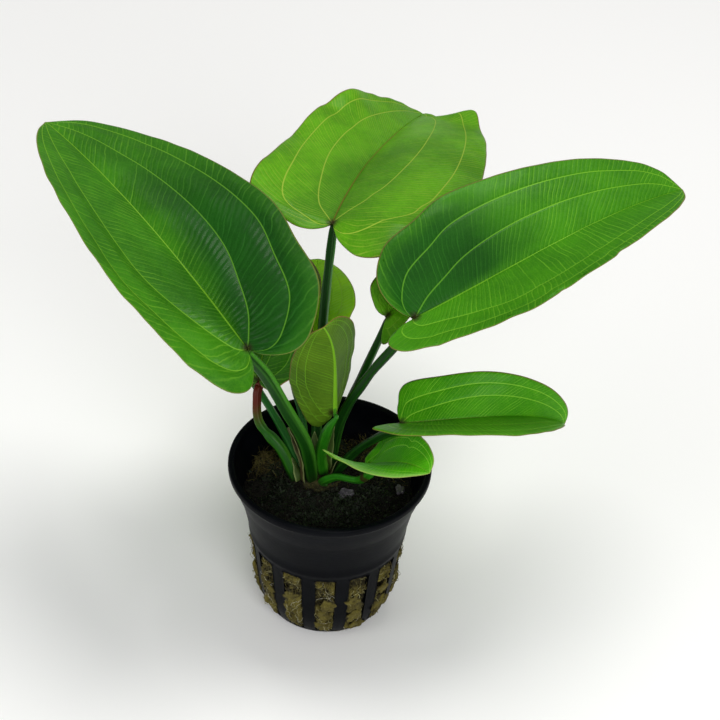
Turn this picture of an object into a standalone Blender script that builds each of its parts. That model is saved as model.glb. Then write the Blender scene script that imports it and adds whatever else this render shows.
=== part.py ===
"""Potted echinodorus: a small black slotted net pot with a rock wool plug, and a
rosette of ten broad leaves on long stalks that rise from one crown.

Lengths are written in millimetres and turned into metres at the end of each
builder.  +Z is up, the origin is the middle of the pot's flat base, and the
front of the plant faces -Y.
"""
import math

import bmesh
import bpy
import numpy as np
from mathutils import Matrix, Vector

MM = 0.001

# ---------------------------------------------------------------- pot
POT_H = 50.0          # height of the pot
RIM_R = 27.5          # outer radius of the rim
WALL = 1.0            # wall thickness
SLOTS = 14            # slots around the wall
SLOT_W = 5.7          # width of a slot
SLOT_Z0 = 1.9         # bottom of a slot
SLOT_Z1 = 25.5        # top of a slot
SEG = 56              # facets around the pot: four for each slot and bar pair
# outer wall from the lip down: (radius, height)
POT_OUTER = [
    (27.5, 50.0), (27.5, 48.4), (26.9, 47.8), (26.1, 45.5), (25.3, 43.0),
    (24.1, 40.0), (23.0, 35.0), (22.0, 30.0), (21.1, 24.0), (20.4, 18.0),
    (19.8, 12.0), (19.0, 7.0), (17.7, 3.0), (16.4, 0.8), (15.4, 0.0),
]
LIP_IN = 25.7         # inner radius at the top of the lip

# ---------------------------------------------------------------- growing medium
GAP = 0.3             # clearance between pieces that touch
PLUG_TOP = 39.5       # top of the rock wool plug at the wall
CROWN_X, CROWN_Y = -3.2, 3.9
CROWN_R = 7.2         # radius of the crown
CROWN_TOP = 42.9      # top of the crown, just under the feet of the stalks

# ---------------------------------------------------------------- leaves
BLADE_T = 0.7         # thickness of a blade
NA, NB = 11, 3        # stations along a blade, and across each half
STALK_SIDES = 2       # bevel resolution of a stalk


def half(width, lobe, shoulder, widest, tip, fold, curl, wave=(0, 1, 0)):
    """One half of a blade, left or right of its midrib.

    width     midrib to margin at the widest place
    lobe      how far the basal lobe reaches back past the stalk
    shoulder  share of the width that is left beside the stalk
    widest    where the widest place is, as a share of the length
    tip       how the margin closes on the tip: 0.4 is blunt, 1 is sharp
    fold      degrees that the half stands up from flat, at the stalk and at the tip
    curl      further degrees that it turns up from midrib to margin
    wave      height of the margin's waves, how many, and the share of one at the stalk
    """
    return dict(width=width, lobe=lobe, shoulder=shoulder, widest=widest, tip=tip, fold=fold, curl=curl, wave=wave)


# A leaf has the place where its stalk meets it and its length; then its heading from +X,
# its rise above level and its roll, in degrees at the stalk, half way and at the tip.
# droop turns the lobes down behind the stalk.
LEAVES = {
    # the large leaf on the left
    "left": dict(joint=(-22, -8.5, 94.7), length=90, heading=(130, 132, 135), rise=(21, 16, 7), roll=(-7, -3, 1), droop=-12,
                 left=half(30, 12, 0.70, 0.33, 0.70, (10, 12), 39),
                 right=half(29, 9, 0.85, 0.33, 0.50, (30, -7), 0)),
    # the broad one that spreads to the back, with waved margins
    "back": dict(joint=(-1.8, 27, 109.2), length=87, heading=(78, 71, 73), rise=(0, -11, -24), roll=(-4, -2, -1), droop=23,
                 left=half(23, 4, 1.00, 0.40, 0.84, (15, 40), -7, (-2.8, 1.7, 0.6)),
                 right=half(34, 11, 0.90, 0.20, 0.35, (18, 15), -44, (0.9, 1.8, 0.86))),
    # the large one on the right, folded along its midrib
    "right": dict(joint=(20, -2, 101.5), length=86, heading=(26, 33, 36), rise=(16, 10, -9), roll=(12, 8, 4), droop=-18,
                  left=half(25, 5, 0.80, 0.27, 0.50, (31, 23), -11),
                  right=half(24, 11, 0.65, 0.28, 0.68, (14, 14), 27)),
    # a small one behind the lobes of the right one
    "inner_right": dict(joint=(13.5, 12, 91), length=37, heading=(58, 66, 76), rise=(6, -8, -31), roll=(2, 2, 2), droop=32,
                        left=half(10.5, 1.5, 0.90, 0.35, 0.70, (42, 43), 20),
                        right=half(10, 8, 0.80, 0.30, 0.65, (18, 18), 22)),
    # a low one on the right, its near half folded down
    "low_right": dict(joint=(18, -10.5, 73.5), length=49, heading=(-1, 16, 36), rise=(9, -8, -44), roll=(-3, 3, 9), droop=-3,
                      left=half(12, 1, 1.00, 0.45, 0.50, (14, 73), 9),
                      right=half(14, 7, 0.90, 0.50, 1.00, (26, 21), -2)),
    # a small one at the front of the rim, its near margin rolled up
    "front": dict(joint=(10, -11, 58.8), length=27, heading=(-44, -47, -55), rise=(42, 33, 11), roll=(-4, 2, 9), droop=-14,
                  left=half(11, 4, 1.00, 0.15, 0.50, (4, 21), 58),
                  right=half(15, 4, 1.00, 0.30, 1.00, (27, -13), 28)),
    # the young one in the middle, upright, its underside to the front
    "young": dict(joint=(0.5, 0.5, 66.8), length=37.5, heading=(266, 254, 237), rise=(88, 77, 55), roll=(22, 26, 29), droop=-16,
                  left=half(12.5, 6, 1.00, 0.15, 0.45, (61, 48), -8),
                  right=half(13, 9, 0.90, 0.20, 0.55, (30, -14), 30)),
    # an old dark one below the left one, on a kinked stalk
    "old": dict(joint=(-20, 12.5, 67), length=53.5, heading=(87, 81, 75), rise=(11, 6, -4), roll=(-4, -5, -6), droop=-7,
                left=half(15, 5, 0.85, 0.40, 0.75, (10, 10), -5),
                right=half(15, 5.5, 1.00, 0.55, 1.00, (26, 32), -5)),
    # a yellowing one at the back, below the old one
    "yellowing": dict(joint=(-10, 26.5, 66), length=40, heading=(81, 84, 86), rise=(8, 4, -4), roll=(-4, -2, 0), droop=0,
                      left=half(14.5, 5.5, 0.90, 0.33, 0.67, (10, 10), -5),
                      right=half(14, 5.5, 0.90, 0.40, 0.67, (23, 8), -2)),
    # a low one at the back left
    "low_left": dict(joint=(-25.5, 26, 62), length=39, heading=(122, 124, 126), rise=(11, 14, 16), roll=(0, 0, 0), droop=0,
                     left=half(12, 5.5, 0.87, 0.33, 0.70, (10, 10), -5),
                     right=half(12, 5.5, 0.87, 0.33, 0.70, (12, 12), -5)),
}

# the bends of each stalk from the crown up, then its radius at the foot and under the blade;
# it ends STALK_END under the leaf's joint, square to the blade
STALK_END = 2.1
FOOT = 43.5           # height of the stalks' feet
STALKS = {
    "left": ([(-5, 0.6, FOOT), (-7, -2, 58), (-12, -4, 71), (-17.5, -6.5, 85)], 1.8, 1.5),
    "back": ([(-3.5, 6.8, FOOT), (-4, 10.6, 58.4), (-3.4, 18, 82), (-2.3, 24, 99.5)], 1.4, 1.1),
    "right": ([(-0.1, 5.6, FOOT), (2.7, 4.5, 62), (9, 1.5, 78.8), (15, -0.5, 90.3)], 1.4, 1.2),
    "inner_right": ([(0.6, 8.7, FOOT), (3, 11, 56.5), (7.6, 12, 70.3), (11.6, 12, 82.8)], 1.2, 1.0),
    "low_right": ([(1.8, 2.4, FOOT), (7, -2.8, 56.5), (13.8, -8.4, 67.6)], 1.3, 1.1),
    "front": ([(-1.5, -1, FOOT), (2, -3, 47), (6, -6, 49), (8.5, -8, 51)], 1.2, 1.0),
    "young": ([(-1.9, 2.8, FOOT), (-2.6, 1.4, 51), (-1, -0.7, 61.4)], 1.5, 1.3),
    "old": ([(-9.8, 1, FOOT), (-13.5, 3.5, 50.6), (-19.5, 7.5, 56), (-20.4, 11, 62.5)], 1.5, 1.2),
    "yellowing": ([(-6.5, 6.8, FOOT), (-8, 14, 52.2), (-11, 21.5, 59.8)], 1.1, 0.9),
    "low_left": ([(-7.8, 3.9, FOOT), (-14, 12.5, 51), (-21, 20.5, 57.5)], 1.2, 1.0),
}

# two flakes of stone that lie on the wool: middle, half sizes, turns in degrees
STONES = {
    "stone_chip_a": ((4.4, -3.4, 41.3), (2.4, 1.5, 0.7), (6, -5, 20)),
    "stone_chip_b": ((19.3, 0.2, 40.2), (2.0, 1.2, 0.6), (-5, 8, 100)),
}


def wipe():
    for ob in list(bpy.data.objects):
        bpy.data.objects.remove(ob, do_unlink=True)
    for coll in list(bpy.data.collections):
        bpy.data.collections.remove(coll)


def collection(name):
    coll = bpy.data.collections.new(name)
    bpy.context.scene.collection.children.link(coll)
    return coll


def material(name, rgb, rough, metal=0.0):
    mat = bpy.data.materials.new(name)
    mat.use_nodes = True
    p = mat.node_tree.nodes["Principled BSDF"]
    p.inputs["Base Color"].default_value = (*rgb, 1.0)
    p.inputs["Roughness"].default_value = rough
    p.inputs["Metallic"].default_value = metal
    return mat


def add(coll, name, mesh, mat, smooth=True):
    ob = bpy.data.objects.new(name, mesh)
    mesh.materials.append(mat)
    coll.objects.link(ob)
    if smooth:
        mesh.shade_smooth()
    return ob


def profile_mesh(name, pts):
    """An open line in the XZ plane, for a Screw modifier."""
    me = bpy.data.meshes.new(name)
    me.from_pydata([(r * MM, 0.0, z * MM) for r, z in pts], [(i, i + 1) for i in range(len(pts) - 1)], [])
    return me


def turn(ob, steps):
    m = ob.modifiers.new("turn", "SCREW")
    m.axis = "Z"
    m.angle = 2 * math.pi
    m.steps = steps
    m.render_steps = steps
    m.use_merge_vertices = True
    m.merge_threshold = 0.00002
    m.use_smooth_shade = True
    return m


# ---------------------------------------------------------------- the pot
def outer_radius(z):
    for (r0, z0), (r1, z1) in zip(POT_OUTER, POT_OUTER[1:]):
        if z1 <= z <= z0:
            return r1 + (r0 - r1) * (z - z1) / max(z0 - z1, 1e-9)
    return POT_OUTER[-1][0]


def pot_profile():
    """Closed section: down the outer wall, in along the base, up the inner wall, over the lip."""
    outer = list(POT_OUTER)
    inner = [(r - WALL * (1.0 if z > 3.5 else 1.15), z) for r, z in reversed(POT_OUTER) if 3.0 < z < 47.0]
    inner = [(15.2, WALL + 0.1)] + inner + [(LIP_IN, 48.0), (LIP_IN, POT_H)]
    return [(RIM_R - 0.5, POT_H)] + [(RIM_R, POT_H - 0.5)] + outer[1:] + [(0.0, 0.0)], inner


def build_pot(coll, cutters, mat):
    outer, inner = pot_profile()
    # one line from the axis on the base, up the inside, over the lip and down the outside
    line = [(0.0, WALL + 0.1)] + inner + outer
    ob = add(coll, "pot", profile_mesh("pot", line), mat)
    turn(ob, SEG)
    # one long slot cutter per gap between the bars, curved in with the wall at its foot
    for i in range(SLOTS):
        a = -math.pi / 2 + 2 * math.pi * i / SLOTS
        bpy.ops.mesh.primitive_cube_add(size=1.0)
        cut = bpy.context.object
        cut.name = "slot_cutter_%02d" % i
        h = SLOT_Z1 - SLOT_Z0
        cut.data.transform(Matrix.Diagonal((9.0 * MM, SLOT_W * MM, h * MM, 1.0)))
        # the upper corners of a slot are clipped, and it narrows towards its foot with the wall
        for v in cut.data.vertices:
            if v.co.z < 0:
                v.co.y *= 0.82
        bev = cut.modifiers.new("corners", "BEVEL")
        bev.width = 0.0011
        bev.segments = 1
        bev.limit_method = "ANGLE"
        cut.location = (19.6 * math.cos(a) * MM, 19.6 * math.sin(a) * MM, (SLOT_Z0 + h / 2) * MM)
        cut.rotation_euler = (0.0, 0.0, a)
        for c in list(cut.users_collection):
            c.objects.unlink(cut)
        cutters.objects.link(cut)
        cut.hide_render = True
        cut.display_type = "WIRE"
        m = ob.modifiers.new("slot_%02d" % i, "BOOLEAN")
        m.operation = "DIFFERENCE"
        m.solver = "EXACT"
        m.object = cut
    return ob


# ---------------------------------------------------------------- wool, crown, stones
def build_plug(coll, mat):
    top = [(0.2, PLUG_TOP + 0.4), (CROWN_R + 7.5, PLUG_TOP + 0.2), (19.0, PLUG_TOP - 0.7)]
    side = [(21.4, PLUG_TOP - 2.2), (20.4, 30.0), (19.6, 24.0), (18.9, 18.0), (18.3, 12.0), (17.4, 7.4), (15.8, 3.9), (14.0, 1.5)]
    # the plug's foot stands off the pot's floor by the usual gap
    line = [(0.0, PLUG_TOP + 0.4)] + top[1:] + side + [(0.0, 1.5)]
    ob = add(coll, "rockwool_plug", profile_mesh("rockwool_plug", line), mat)
    turn(ob, 32)
    return ob


def build_crown(coll, mat):
    z0 = PLUG_TOP + 0.4 + GAP
    line = [(0.0, CROWN_TOP), (CROWN_R * 0.55, CROWN_TOP - 0.2), (CROWN_R * 0.86, CROWN_TOP - 1.3),
            (CROWN_R, CROWN_TOP - 2.8), (CROWN_R * 0.9, z0), (0.0, z0)]
    ob = add(coll, "crown", profile_mesh("crown", line), mat)
    turn(ob, 16)
    ob.location = (CROWN_X * MM, CROWN_Y * MM, 0.0)
    return ob


def build_stone(coll, name, mat, at, size, spin, seed):
    """A thin stone chip: a coarse lump with uneven corners."""
    rng = np.random.default_rng(seed)
    bm = bmesh.new()
    bmesh.ops.create_icosphere(bm, subdivisions=1, radius=1.0)
    for v in bm.verts:
        k = 1.0 + rng.uniform(-0.16, 0.16)
        v.co = Vector((v.co.x * size[0] * k * MM, v.co.y * size[1] * k * MM, v.co.z * size[2] * MM))
    me = bpy.data.meshes.new(name)
    bm.to_mesh(me)
    bm.free()
    ob = add(coll, name, me, mat, smooth=False)
    ob.location = Vector(at) * MM
    ob.rotation_euler = [math.radians(v) for v in spin]
    return ob


# ---------------------------------------------------------------- stalks
def smooth_line(points, n):
    """n + 1 even points on a smooth curve through the given points."""
    p = np.asarray(points, float)
    q = np.vstack([2 * p[0] - p[1], p, 2 * p[-1] - p[-2]])
    out = []
    for i in range(len(p) - 1):
        a, b, c, d = q[i], q[i + 1], q[i + 2], q[i + 3]
        for t in np.linspace(0, 1, 10, endpoint=False):
            out.append(0.5 * (2 * b + (c - a) * t + (2 * a - 5 * b + 4 * c - d) * t * t + (3 * b - a - 3 * c + d) * t ** 3))
    out.append(p[-1])
    return even(np.array(out), np.linspace(0, 1, n + 1))


def even(c, u):
    d = np.r_[0, np.cumsum(np.linalg.norm(np.diff(c, axis=0), axis=1))]
    d = d / d[-1]
    return np.stack([np.interp(u, d, c[:, k]) for k in range(c.shape[1])], -1)


def build_stalk(coll, name, mat, route, r0, r1, n=9):
    """A tapering round tube along the route, r0 at the crown and r1 under the blade."""
    pts = smooth_line(route, n)
    cu = bpy.data.curves.new(name, "CURVE")
    cu.dimensions = "3D"
    cu.bevel_depth = MM
    cu.bevel_resolution = STALK_SIDES
    cu.use_fill_caps = True
    sp = cu.splines.new("POLY")
    sp.points.add(len(pts) - 1)
    for i, (p, co) in enumerate(zip(sp.points, pts)):
        p.co = (co[0] * MM, co[1] * MM, co[2] * MM, 1.0)
        p.radius = r0 + (r1 - r0) * i / n
    ob = bpy.data.objects.new(name, cu)
    cu.materials.append(mat)
    coll.objects.link(ob)
    return ob


# ---------------------------------------------------------------- blades
def along(three, u):
    """A value that is given at the stalk, half way and at the tip, at the stations u."""
    v0, v1, v2 = three
    return v0 + (4 * v1 - 3 * v0 - v2) * u + 2 * (v0 - 2 * v1 + v2) * u * u


def midrib(leaf, n=40):
    """Stations along the midrib: distance, point, tangent, side and normal."""
    u = np.linspace(0, 1, n + 1)
    az, el, ro = (np.radians(along(leaf[k], u)) for k in ("heading", "rise", "roll"))
    t = np.stack([np.cos(el) * np.cos(az), np.cos(el) * np.sin(az), np.sin(el)], -1)
    s0 = np.stack([-np.sin(az), np.cos(az), 0 * az], -1)
    n0 = np.cross(t, s0)
    side = np.cos(ro)[:, None] * s0 + np.sin(ro)[:, None] * n0
    norm = -np.sin(ro)[:, None] * s0 + np.cos(ro)[:, None] * n0
    step = leaf["length"] / n
    p = np.array(leaf["joint"]) + np.vstack([np.zeros(3), np.cumsum((t[1:] + t[:-1]) / 2 * step, axis=0)])
    return u * leaf["length"], p, t, side, norm


def lift(leaf, sw, hand):
    """Flat leaf coordinates (along, across) on one half to space: fold, curl and wave."""
    st, p, t, side, norm = midrib(leaf)
    half = leaf["left" if hand > 0 else "right"]
    s, w = sw[..., 0], sw[..., 1]
    sc = np.clip(s, 0, leaf["length"])
    at = lambda x: np.stack([np.interp(sc, st, x[:, k]) for k in range(3)], -1)
    pp, tt, ss, nn = at(p), at(t), at(side), at(norm)
    droop = math.radians(leaf["droop"])
    pp = pp + (s - sc)[..., None] * (math.cos(droop) * tt + math.sin(droop) * nn)
    u = sc / leaf["length"]
    f0, f1 = half["fold"]
    phi = np.radians(f0 + (f1 - f0) * u)
    k = math.radians(half["curl"] if abs(half["curl"]) > 0.05 else 0.05) / half["width"]
    x = (np.sin(phi + k * w) - np.sin(phi)) / k
    y = (np.cos(phi) - np.cos(phi + k * w)) / k
    amp, cycles, phase = half["wave"]
    y = y + amp * np.sin(2 * np.pi * (cycles * u + phase)) * np.clip(w / half["width"], 0, 1.2) ** 2.5
    return pp + hand * x[..., None] * ss + y[..., None] * nn


def outline(leaf, hand, u):
    """The margin of one half, from the stalk round the basal lobe to the tip.

    Behind the stalk the margin swings round a lobe; in front of the widest place it
    closes on the tip along a power curve.
    """
    h = leaf["left" if hand > 0 else "right"]
    n, w, lobe, wide = leaf["length"], h["width"], h["lobe"], h["widest"]
    rear = [(0.0, 0.0), (-0.55 * lobe, 0.09 * w), (-lobe, 0.28 * w), (-0.85 * lobe, 0.52 * w),
            (0.02 * n, h["shoulder"] * w), (0.55 * wide * n, (0.45 * h["shoulder"] + 0.55) * w)]
    front = [(n * (wide + (1 - wide) * q), w * (1 - q ** 1.5) ** h["tip"]) for q in (0.0, 0.3, 0.6, 0.82, 0.94)]
    p = np.asarray(rear + front + [(n, 0.0)], float)
    q = np.vstack([2 * p[0] - p[1], p, 2 * p[-1] - p[-2]])
    out = []
    for i in range(len(p) - 1):
        a, b, c, d = q[i], q[i + 1], q[i + 2], q[i + 3]
        for t in np.linspace(0, 1, 12, endpoint=False):
            out.append(0.5 * (2 * b + (c - a) * t + (2 * a - 5 * b + 4 * c - d) * t * t + (3 * b - a - 3 * c + d) * t ** 3))
    out.append(p[-1])
    return even(np.array(out), u)


def blade_points(leaf, a, b):
    """A point for each station a (stalk 0 to tip 1) and each vein line b (left -1, midrib 0, right 1)."""
    mid = np.stack([leaf["length"] * a ** 1.7, 0 * a], -1)
    rows = []
    for bb in b:
        hand = 1 if bb <= 0 else -1
        share = np.abs(bb) ** (1 + 1.2 * (1 - a) ** 2) if abs(bb) < 1 else np.ones_like(a)
        edge = outline(leaf, hand, a)
        rows.append(lift(leaf, mid + share[:, None] * (edge - mid), hand))
    return np.stack(rows, 1)


def build_blade(coll, name, mat, leaf):
    """A lofted sheet between the margins, given its thickness by Solidify."""
    a = np.linspace(0, 1, NA + 1)
    b = np.linspace(-1, 1, 2 * NB + 1)
    grid = blade_points(leaf, a, b)
    bm = bmesh.new()
    base = bm.verts.new(Vector(grid[0, 0]) * MM)
    tip = bm.verts.new(Vector(grid[-1, 0]) * MM)
    rows = [[bm.verts.new(Vector(p) * MM) for p in grid[i]] for i in range(1, NA)]
    for j in range(2 * NB):
        bm.faces.new((base, rows[0][j], rows[0][j + 1]))
        bm.faces.new((tip, rows[-1][j + 1], rows[-1][j]))
        for r0, r1 in zip(rows, rows[1:]):
            bm.faces.new((r0[j], r1[j], r1[j + 1], r0[j + 1]))
    bmesh.ops.recalc_face_normals(bm, faces=bm.faces)
    me = bpy.data.meshes.new(name)
    bm.to_mesh(me)
    bm.free()
    ob = add(coll, name, me, mat)
    m = ob.modifiers.new("thickness", "SOLIDIFY")
    m.thickness = BLADE_T * MM
    m.offset = 0.0
    m.use_even_offset = False
    return ob


def stalk_route(leaf, bends):
    """The bends of a stalk, and its end square under the joint of its leaf."""
    st, p, t, side, norm = midrib(leaf)
    return list(bends) + [tuple(p[0] - STALK_END * norm[0])]


# ---------------------------------------------------------------- everything
def main():
    wipe()
    parts = collection("potted_echinodorus")
    cutters = collection("cutters")
    black = material("pot_plastic", (0.011, 0.013, 0.017), 0.42)
    wool = material("rock_wool", (0.125, 0.105, 0.035), 0.95)
    bark = material("crown_brown", (0.030, 0.035, 0.012), 0.85)
    stone = material("stone_grey", (0.085, 0.080, 0.090), 0.70)
    build_pot(parts, cutters, black)
    build_plug(parts, wool)
    build_crown(parts, bark)
    for i, (name, (at, size, spin)) in enumerate(STONES.items()):
        build_stone(parts, name, stone, at, size, spin, 11 + i)
    greens = {
        "left": (0.030, 0.150, 0.020), "back": (0.060, 0.260, 0.012), "right": (0.025, 0.140, 0.014),
        "inner_right": (0.030, 0.110, 0.014), "low_right": (0.055, 0.240, 0.010), "front": (0.070, 0.230, 0.014),
        "young": (0.060, 0.150, 0.010), "old": (0.020, 0.075, 0.025), "yellowing": (0.130, 0.370, 0.010),
        "low_left": (0.020, 0.080, 0.020),
    }
    for key, leaf in LEAVES.items():
        build_blade(parts, "blade_" + key, material("leaf_" + key, greens[key], 0.38), leaf)
        bends, r0, r1 = STALKS[key]
        rgb = (0.060, 0.016, 0.006) if key == "old" else (0.010, 0.105, 0.008)
        build_stalk(parts, "stalk_" + key, material("stalk_" + key, rgb, 0.42), stalk_route(leaf, bends), r0, r1)


if __name__ == "__main__":
    main()
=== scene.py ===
import math

import bmesh
import bpy
import numpy as np
from mathutils import Matrix, Vector, noise


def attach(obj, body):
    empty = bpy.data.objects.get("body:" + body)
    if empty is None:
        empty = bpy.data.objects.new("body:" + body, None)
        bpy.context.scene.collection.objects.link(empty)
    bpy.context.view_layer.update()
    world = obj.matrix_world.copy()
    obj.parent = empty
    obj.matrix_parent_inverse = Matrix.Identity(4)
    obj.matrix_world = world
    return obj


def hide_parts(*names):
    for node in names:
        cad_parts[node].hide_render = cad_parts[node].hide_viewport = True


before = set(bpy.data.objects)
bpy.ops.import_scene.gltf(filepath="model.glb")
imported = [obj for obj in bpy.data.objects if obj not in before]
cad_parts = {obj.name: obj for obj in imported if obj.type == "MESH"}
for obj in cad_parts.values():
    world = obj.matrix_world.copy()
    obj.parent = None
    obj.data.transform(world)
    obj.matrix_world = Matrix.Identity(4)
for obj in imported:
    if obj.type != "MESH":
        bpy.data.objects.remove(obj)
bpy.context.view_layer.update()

MM = 0.001
TAU = 2 * math.pi


# =====================================================================
# Dimensions, in millimetres and degrees.  +Z is up, the origin is the
# middle of the pot's base, and the front of the plant faces -Y.
# =====================================================================
POT_H, RIM_R, WALL = 50.0, 27.5, 1.0
SLOTS, SLOT_W, SLOT_Z0, SLOT_Z1 = 14, 5.7, 1.9, 25.5
POT_OUTER = [
    (27.5, 50.0), (27.5, 48.4), (26.9, 47.8), (26.1, 45.5), (25.3, 43.0),
    (24.1, 40.0), (23.0, 35.0), (22.0, 30.0), (21.1, 24.0), (20.4, 18.0),
    (19.8, 12.0), (19.0, 7.0), (17.7, 3.0), (16.4, 0.8), (15.4, 0.0),
]
LIP_IN = 25.7
PLUG_TOP = 39.5
CROWN_X, CROWN_Y, CROWN_R, CROWN_TOP = -3.2, 3.9, 7.2, 42.9


def half(width, lobe, shoulder, widest, tip, fold, curl, wave=(0, 1, 0)):
    """One half of a blade: width, basal lobe, shoulder, widest place, tip, fold, curl and margin wave."""
    return dict(width=width, lobe=lobe, shoulder=shoulder, widest=widest, tip=tip, fold=fold, curl=curl, wave=wave)


LEAVES = {
    "left": dict(joint=(-22, -8.5, 94.7), length=90, heading=(130, 132, 135), rise=(21, 16, 7), roll=(-7, -3, 1), droop=-12,
                 left=half(30, 12, 0.70, 0.33, 0.70, (10, 12), 39),
                 right=half(29, 9, 0.85, 0.33, 0.50, (30, -7), 0)),
    "back": dict(joint=(-1.8, 27, 109.2), length=87, heading=(78, 71, 73), rise=(0, -11, -24), roll=(-4, -2, -1), droop=23,
                 left=half(23, 4, 1.00, 0.40, 0.84, (15, 40), -7, (-2.8, 1.7, 0.6)),
                 right=half(34, 11, 0.90, 0.20, 0.35, (18, 15), -44, (0.9, 1.8, 0.86))),
    "right": dict(joint=(20, -2, 101.5), length=86, heading=(26, 33, 36), rise=(16, 10, -9), roll=(12, 8, 4), droop=-18,
                  left=half(25, 5, 0.80, 0.27, 0.50, (31, 23), -11),
                  right=half(24, 11, 0.65, 0.28, 0.68, (14, 14), 27)),
    "inner_right": dict(joint=(13.5, 12, 91), length=37, heading=(58, 66, 76), rise=(6, -8, -31), roll=(2, 2, 2), droop=32,
                        left=half(10.5, 1.5, 0.90, 0.35, 0.70, (42, 43), 20),
                        right=half(10, 8, 0.80, 0.30, 0.65, (18, 18), 22)),
    "low_right": dict(joint=(18, -10.5, 73.5), length=49, heading=(-1, 16, 36), rise=(9, -8, -44), roll=(-3, 3, 9), droop=-3,
                      left=half(12, 1, 1.00, 0.45, 0.50, (14, 73), 9),
                      right=half(14, 7, 0.90, 0.50, 1.00, (26, 21), -2)),
    "front": dict(joint=(10, -11, 58.8), length=27, heading=(-44, -47, -55), rise=(42, 33, 11), roll=(-4, 2, 9), droop=-14,
                  left=half(11, 4, 1.00, 0.15, 0.50, (4, 21), 58),
                  right=half(15, 4, 1.00, 0.30, 1.00, (27, -13), 28)),
    "young": dict(joint=(0.5, 0.5, 66.8), length=37.5, heading=(266, 254, 237), rise=(88, 77, 55), roll=(22, 26, 29), droop=-16,
                  left=half(12.5, 6, 1.00, 0.15, 0.45, (61, 48), -8),
                  right=half(13, 9, 0.90, 0.20, 0.55, (30, -14), 30)),
    "old": dict(joint=(-20, 12.5, 67), length=53.5, heading=(87, 81, 75), rise=(11, 6, -4), roll=(-4, -5, -6), droop=-7,
                left=half(15, 5, 0.85, 0.40, 0.75, (10, 10), -5),
                right=half(15, 5.5, 1.00, 0.55, 1.00, (26, 32), -5)),
    "yellowing": dict(joint=(-10, 26.5, 66), length=40, heading=(81, 84, 86), rise=(8, 4, -4), roll=(-4, -2, 0), droop=0,
                      left=half(14.5, 5.5, 0.90, 0.33, 0.67, (10, 10), -5),
                      right=half(14, 5.5, 0.90, 0.40, 0.67, (23, 8), -2)),
    "low_left": dict(joint=(-25.5, 26, 62), length=39, heading=(122, 124, 126), rise=(11, 14, 16), roll=(0, 0, 0), droop=0,
                     left=half(12, 5.5, 0.87, 0.33, 0.70, (10, 10), -5),
                     right=half(12, 5.5, 0.87, 0.33, 0.70, (12, 12), -5)),
}
STALK_END = 2.1
FOOT = 43.5
STALKS = {
    "left": ([(-5, 0.6, FOOT), (-7, -2, 58), (-12, -4, 71), (-17.5, -6.5, 85)], 2.1, 1.5),
    "back": ([(-3.5, 6.8, FOOT), (-4, 10.6, 58.4), (-3.4, 18, 82), (-2.3, 24, 99.5)], 1.4, 1.1),
    "right": ([(-0.1, 5.6, FOOT), (2.7, 4.5, 62), (9, 1.5, 78.8), (15, -0.5, 90.3)], 1.4, 1.2),
    "inner_right": ([(0.6, 8.7, FOOT), (3, 11, 56.5), (7.6, 12, 70.3), (11.6, 12, 82.8)], 1.2, 1.0),
    "low_right": ([(1.8, 2.4, FOOT), (7, -2.8, 56.5), (13.8, -8.4, 67.6)], 1.3, 1.1),
    "front": ([(-1.5, -1, FOOT), (2, -3, 47), (6, -6, 49), (8.5, -8, 51)], 1.2, 1.0),
    "young": ([(-1.9, 2.8, FOOT), (-2.6, 1.4, 51), (-1, -0.7, 61.4)], 1.8, 1.3),
    "old": ([(-9.8, 1, FOOT), (-13.5, 3.5, 50.6), (-19.5, 7.5, 56), (-20.4, 11, 62.5)], 1.5, 1.2),
    "yellowing": ([(-6.5, 6.8, FOOT), (-8, 14, 52.2), (-11, 21.5, 59.8)], 1.1, 0.9),
    "low_left": ([(-7.8, 3.9, FOOT), (-14, 12.5, 51), (-21, 20.5, 57.5)], 1.2, 1.0),
}
STONES = {
    "stone_chip_a": ((4.4, -3.4, 41.3), (2.4, 1.5, 0.7), (6, -5, 20)),
    "stone_chip_b": ((19.3, 0.2, 40.2), (2.0, 1.2, 0.6), (-5, 8, 100)),
}


# =====================================================================
# Small helpers
# =====================================================================
def lin(r, g, b):
    """A display colour, 0 to 255 a channel, as linear light."""
    f = lambda v: (v / 12.92) if v <= 0.04045 else ((v + 0.055) / 1.055) ** 2.4
    return (f(r / 255), f(g / 255), f(b / 255), 1.0)


def smooth(x, lo, hi):
    t = np.clip((np.asarray(x, float) - lo) / (hi - lo), 0, 1)
    return t * t * (3 - 2 * t)


def waves(p, seed, scale, n=14):
    """Smooth random undulation of a set of points, roughly -1 to 1, from a sum of plane waves."""
    rng = np.random.default_rng(seed)
    k = rng.normal(size=(n, 3))
    k = k / np.linalg.norm(k, axis=1)[:, None] * (TAU / scale) * rng.uniform(0.6, 1.7, (n, 1))
    ph = rng.uniform(0, TAU, n)
    return np.sin(p @ k.T + ph).sum(-1) * math.sqrt(2.0 / n) * 0.7


def make(name, verts, faces, mats, index=None, attrs=None, smooth_shade=True):
    """A mesh object from points in millimetres, with its faces' materials and point attributes."""
    me = bpy.data.meshes.new(name)
    me.from_pydata((np.asarray(verts, float) * MM).tolist(), [], faces)
    for m in mats:
        me.materials.append(m)
    if index is not None:
        me.polygons.foreach_set("material_index", np.asarray(index, np.int32))
    if smooth_shade:
        me.polygons.foreach_set("use_smooth", np.ones(len(me.polygons), bool))
    for key, val in (attrs or {}).items():
        at = me.attributes.new(key, "FLOAT", "POINT")
        at.data.foreach_set("value", np.asarray(val, np.float32))
    me.update()
    ob = bpy.data.objects.new(name, me)
    bpy.context.scene.collection.objects.link(ob)
    return ob


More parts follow.
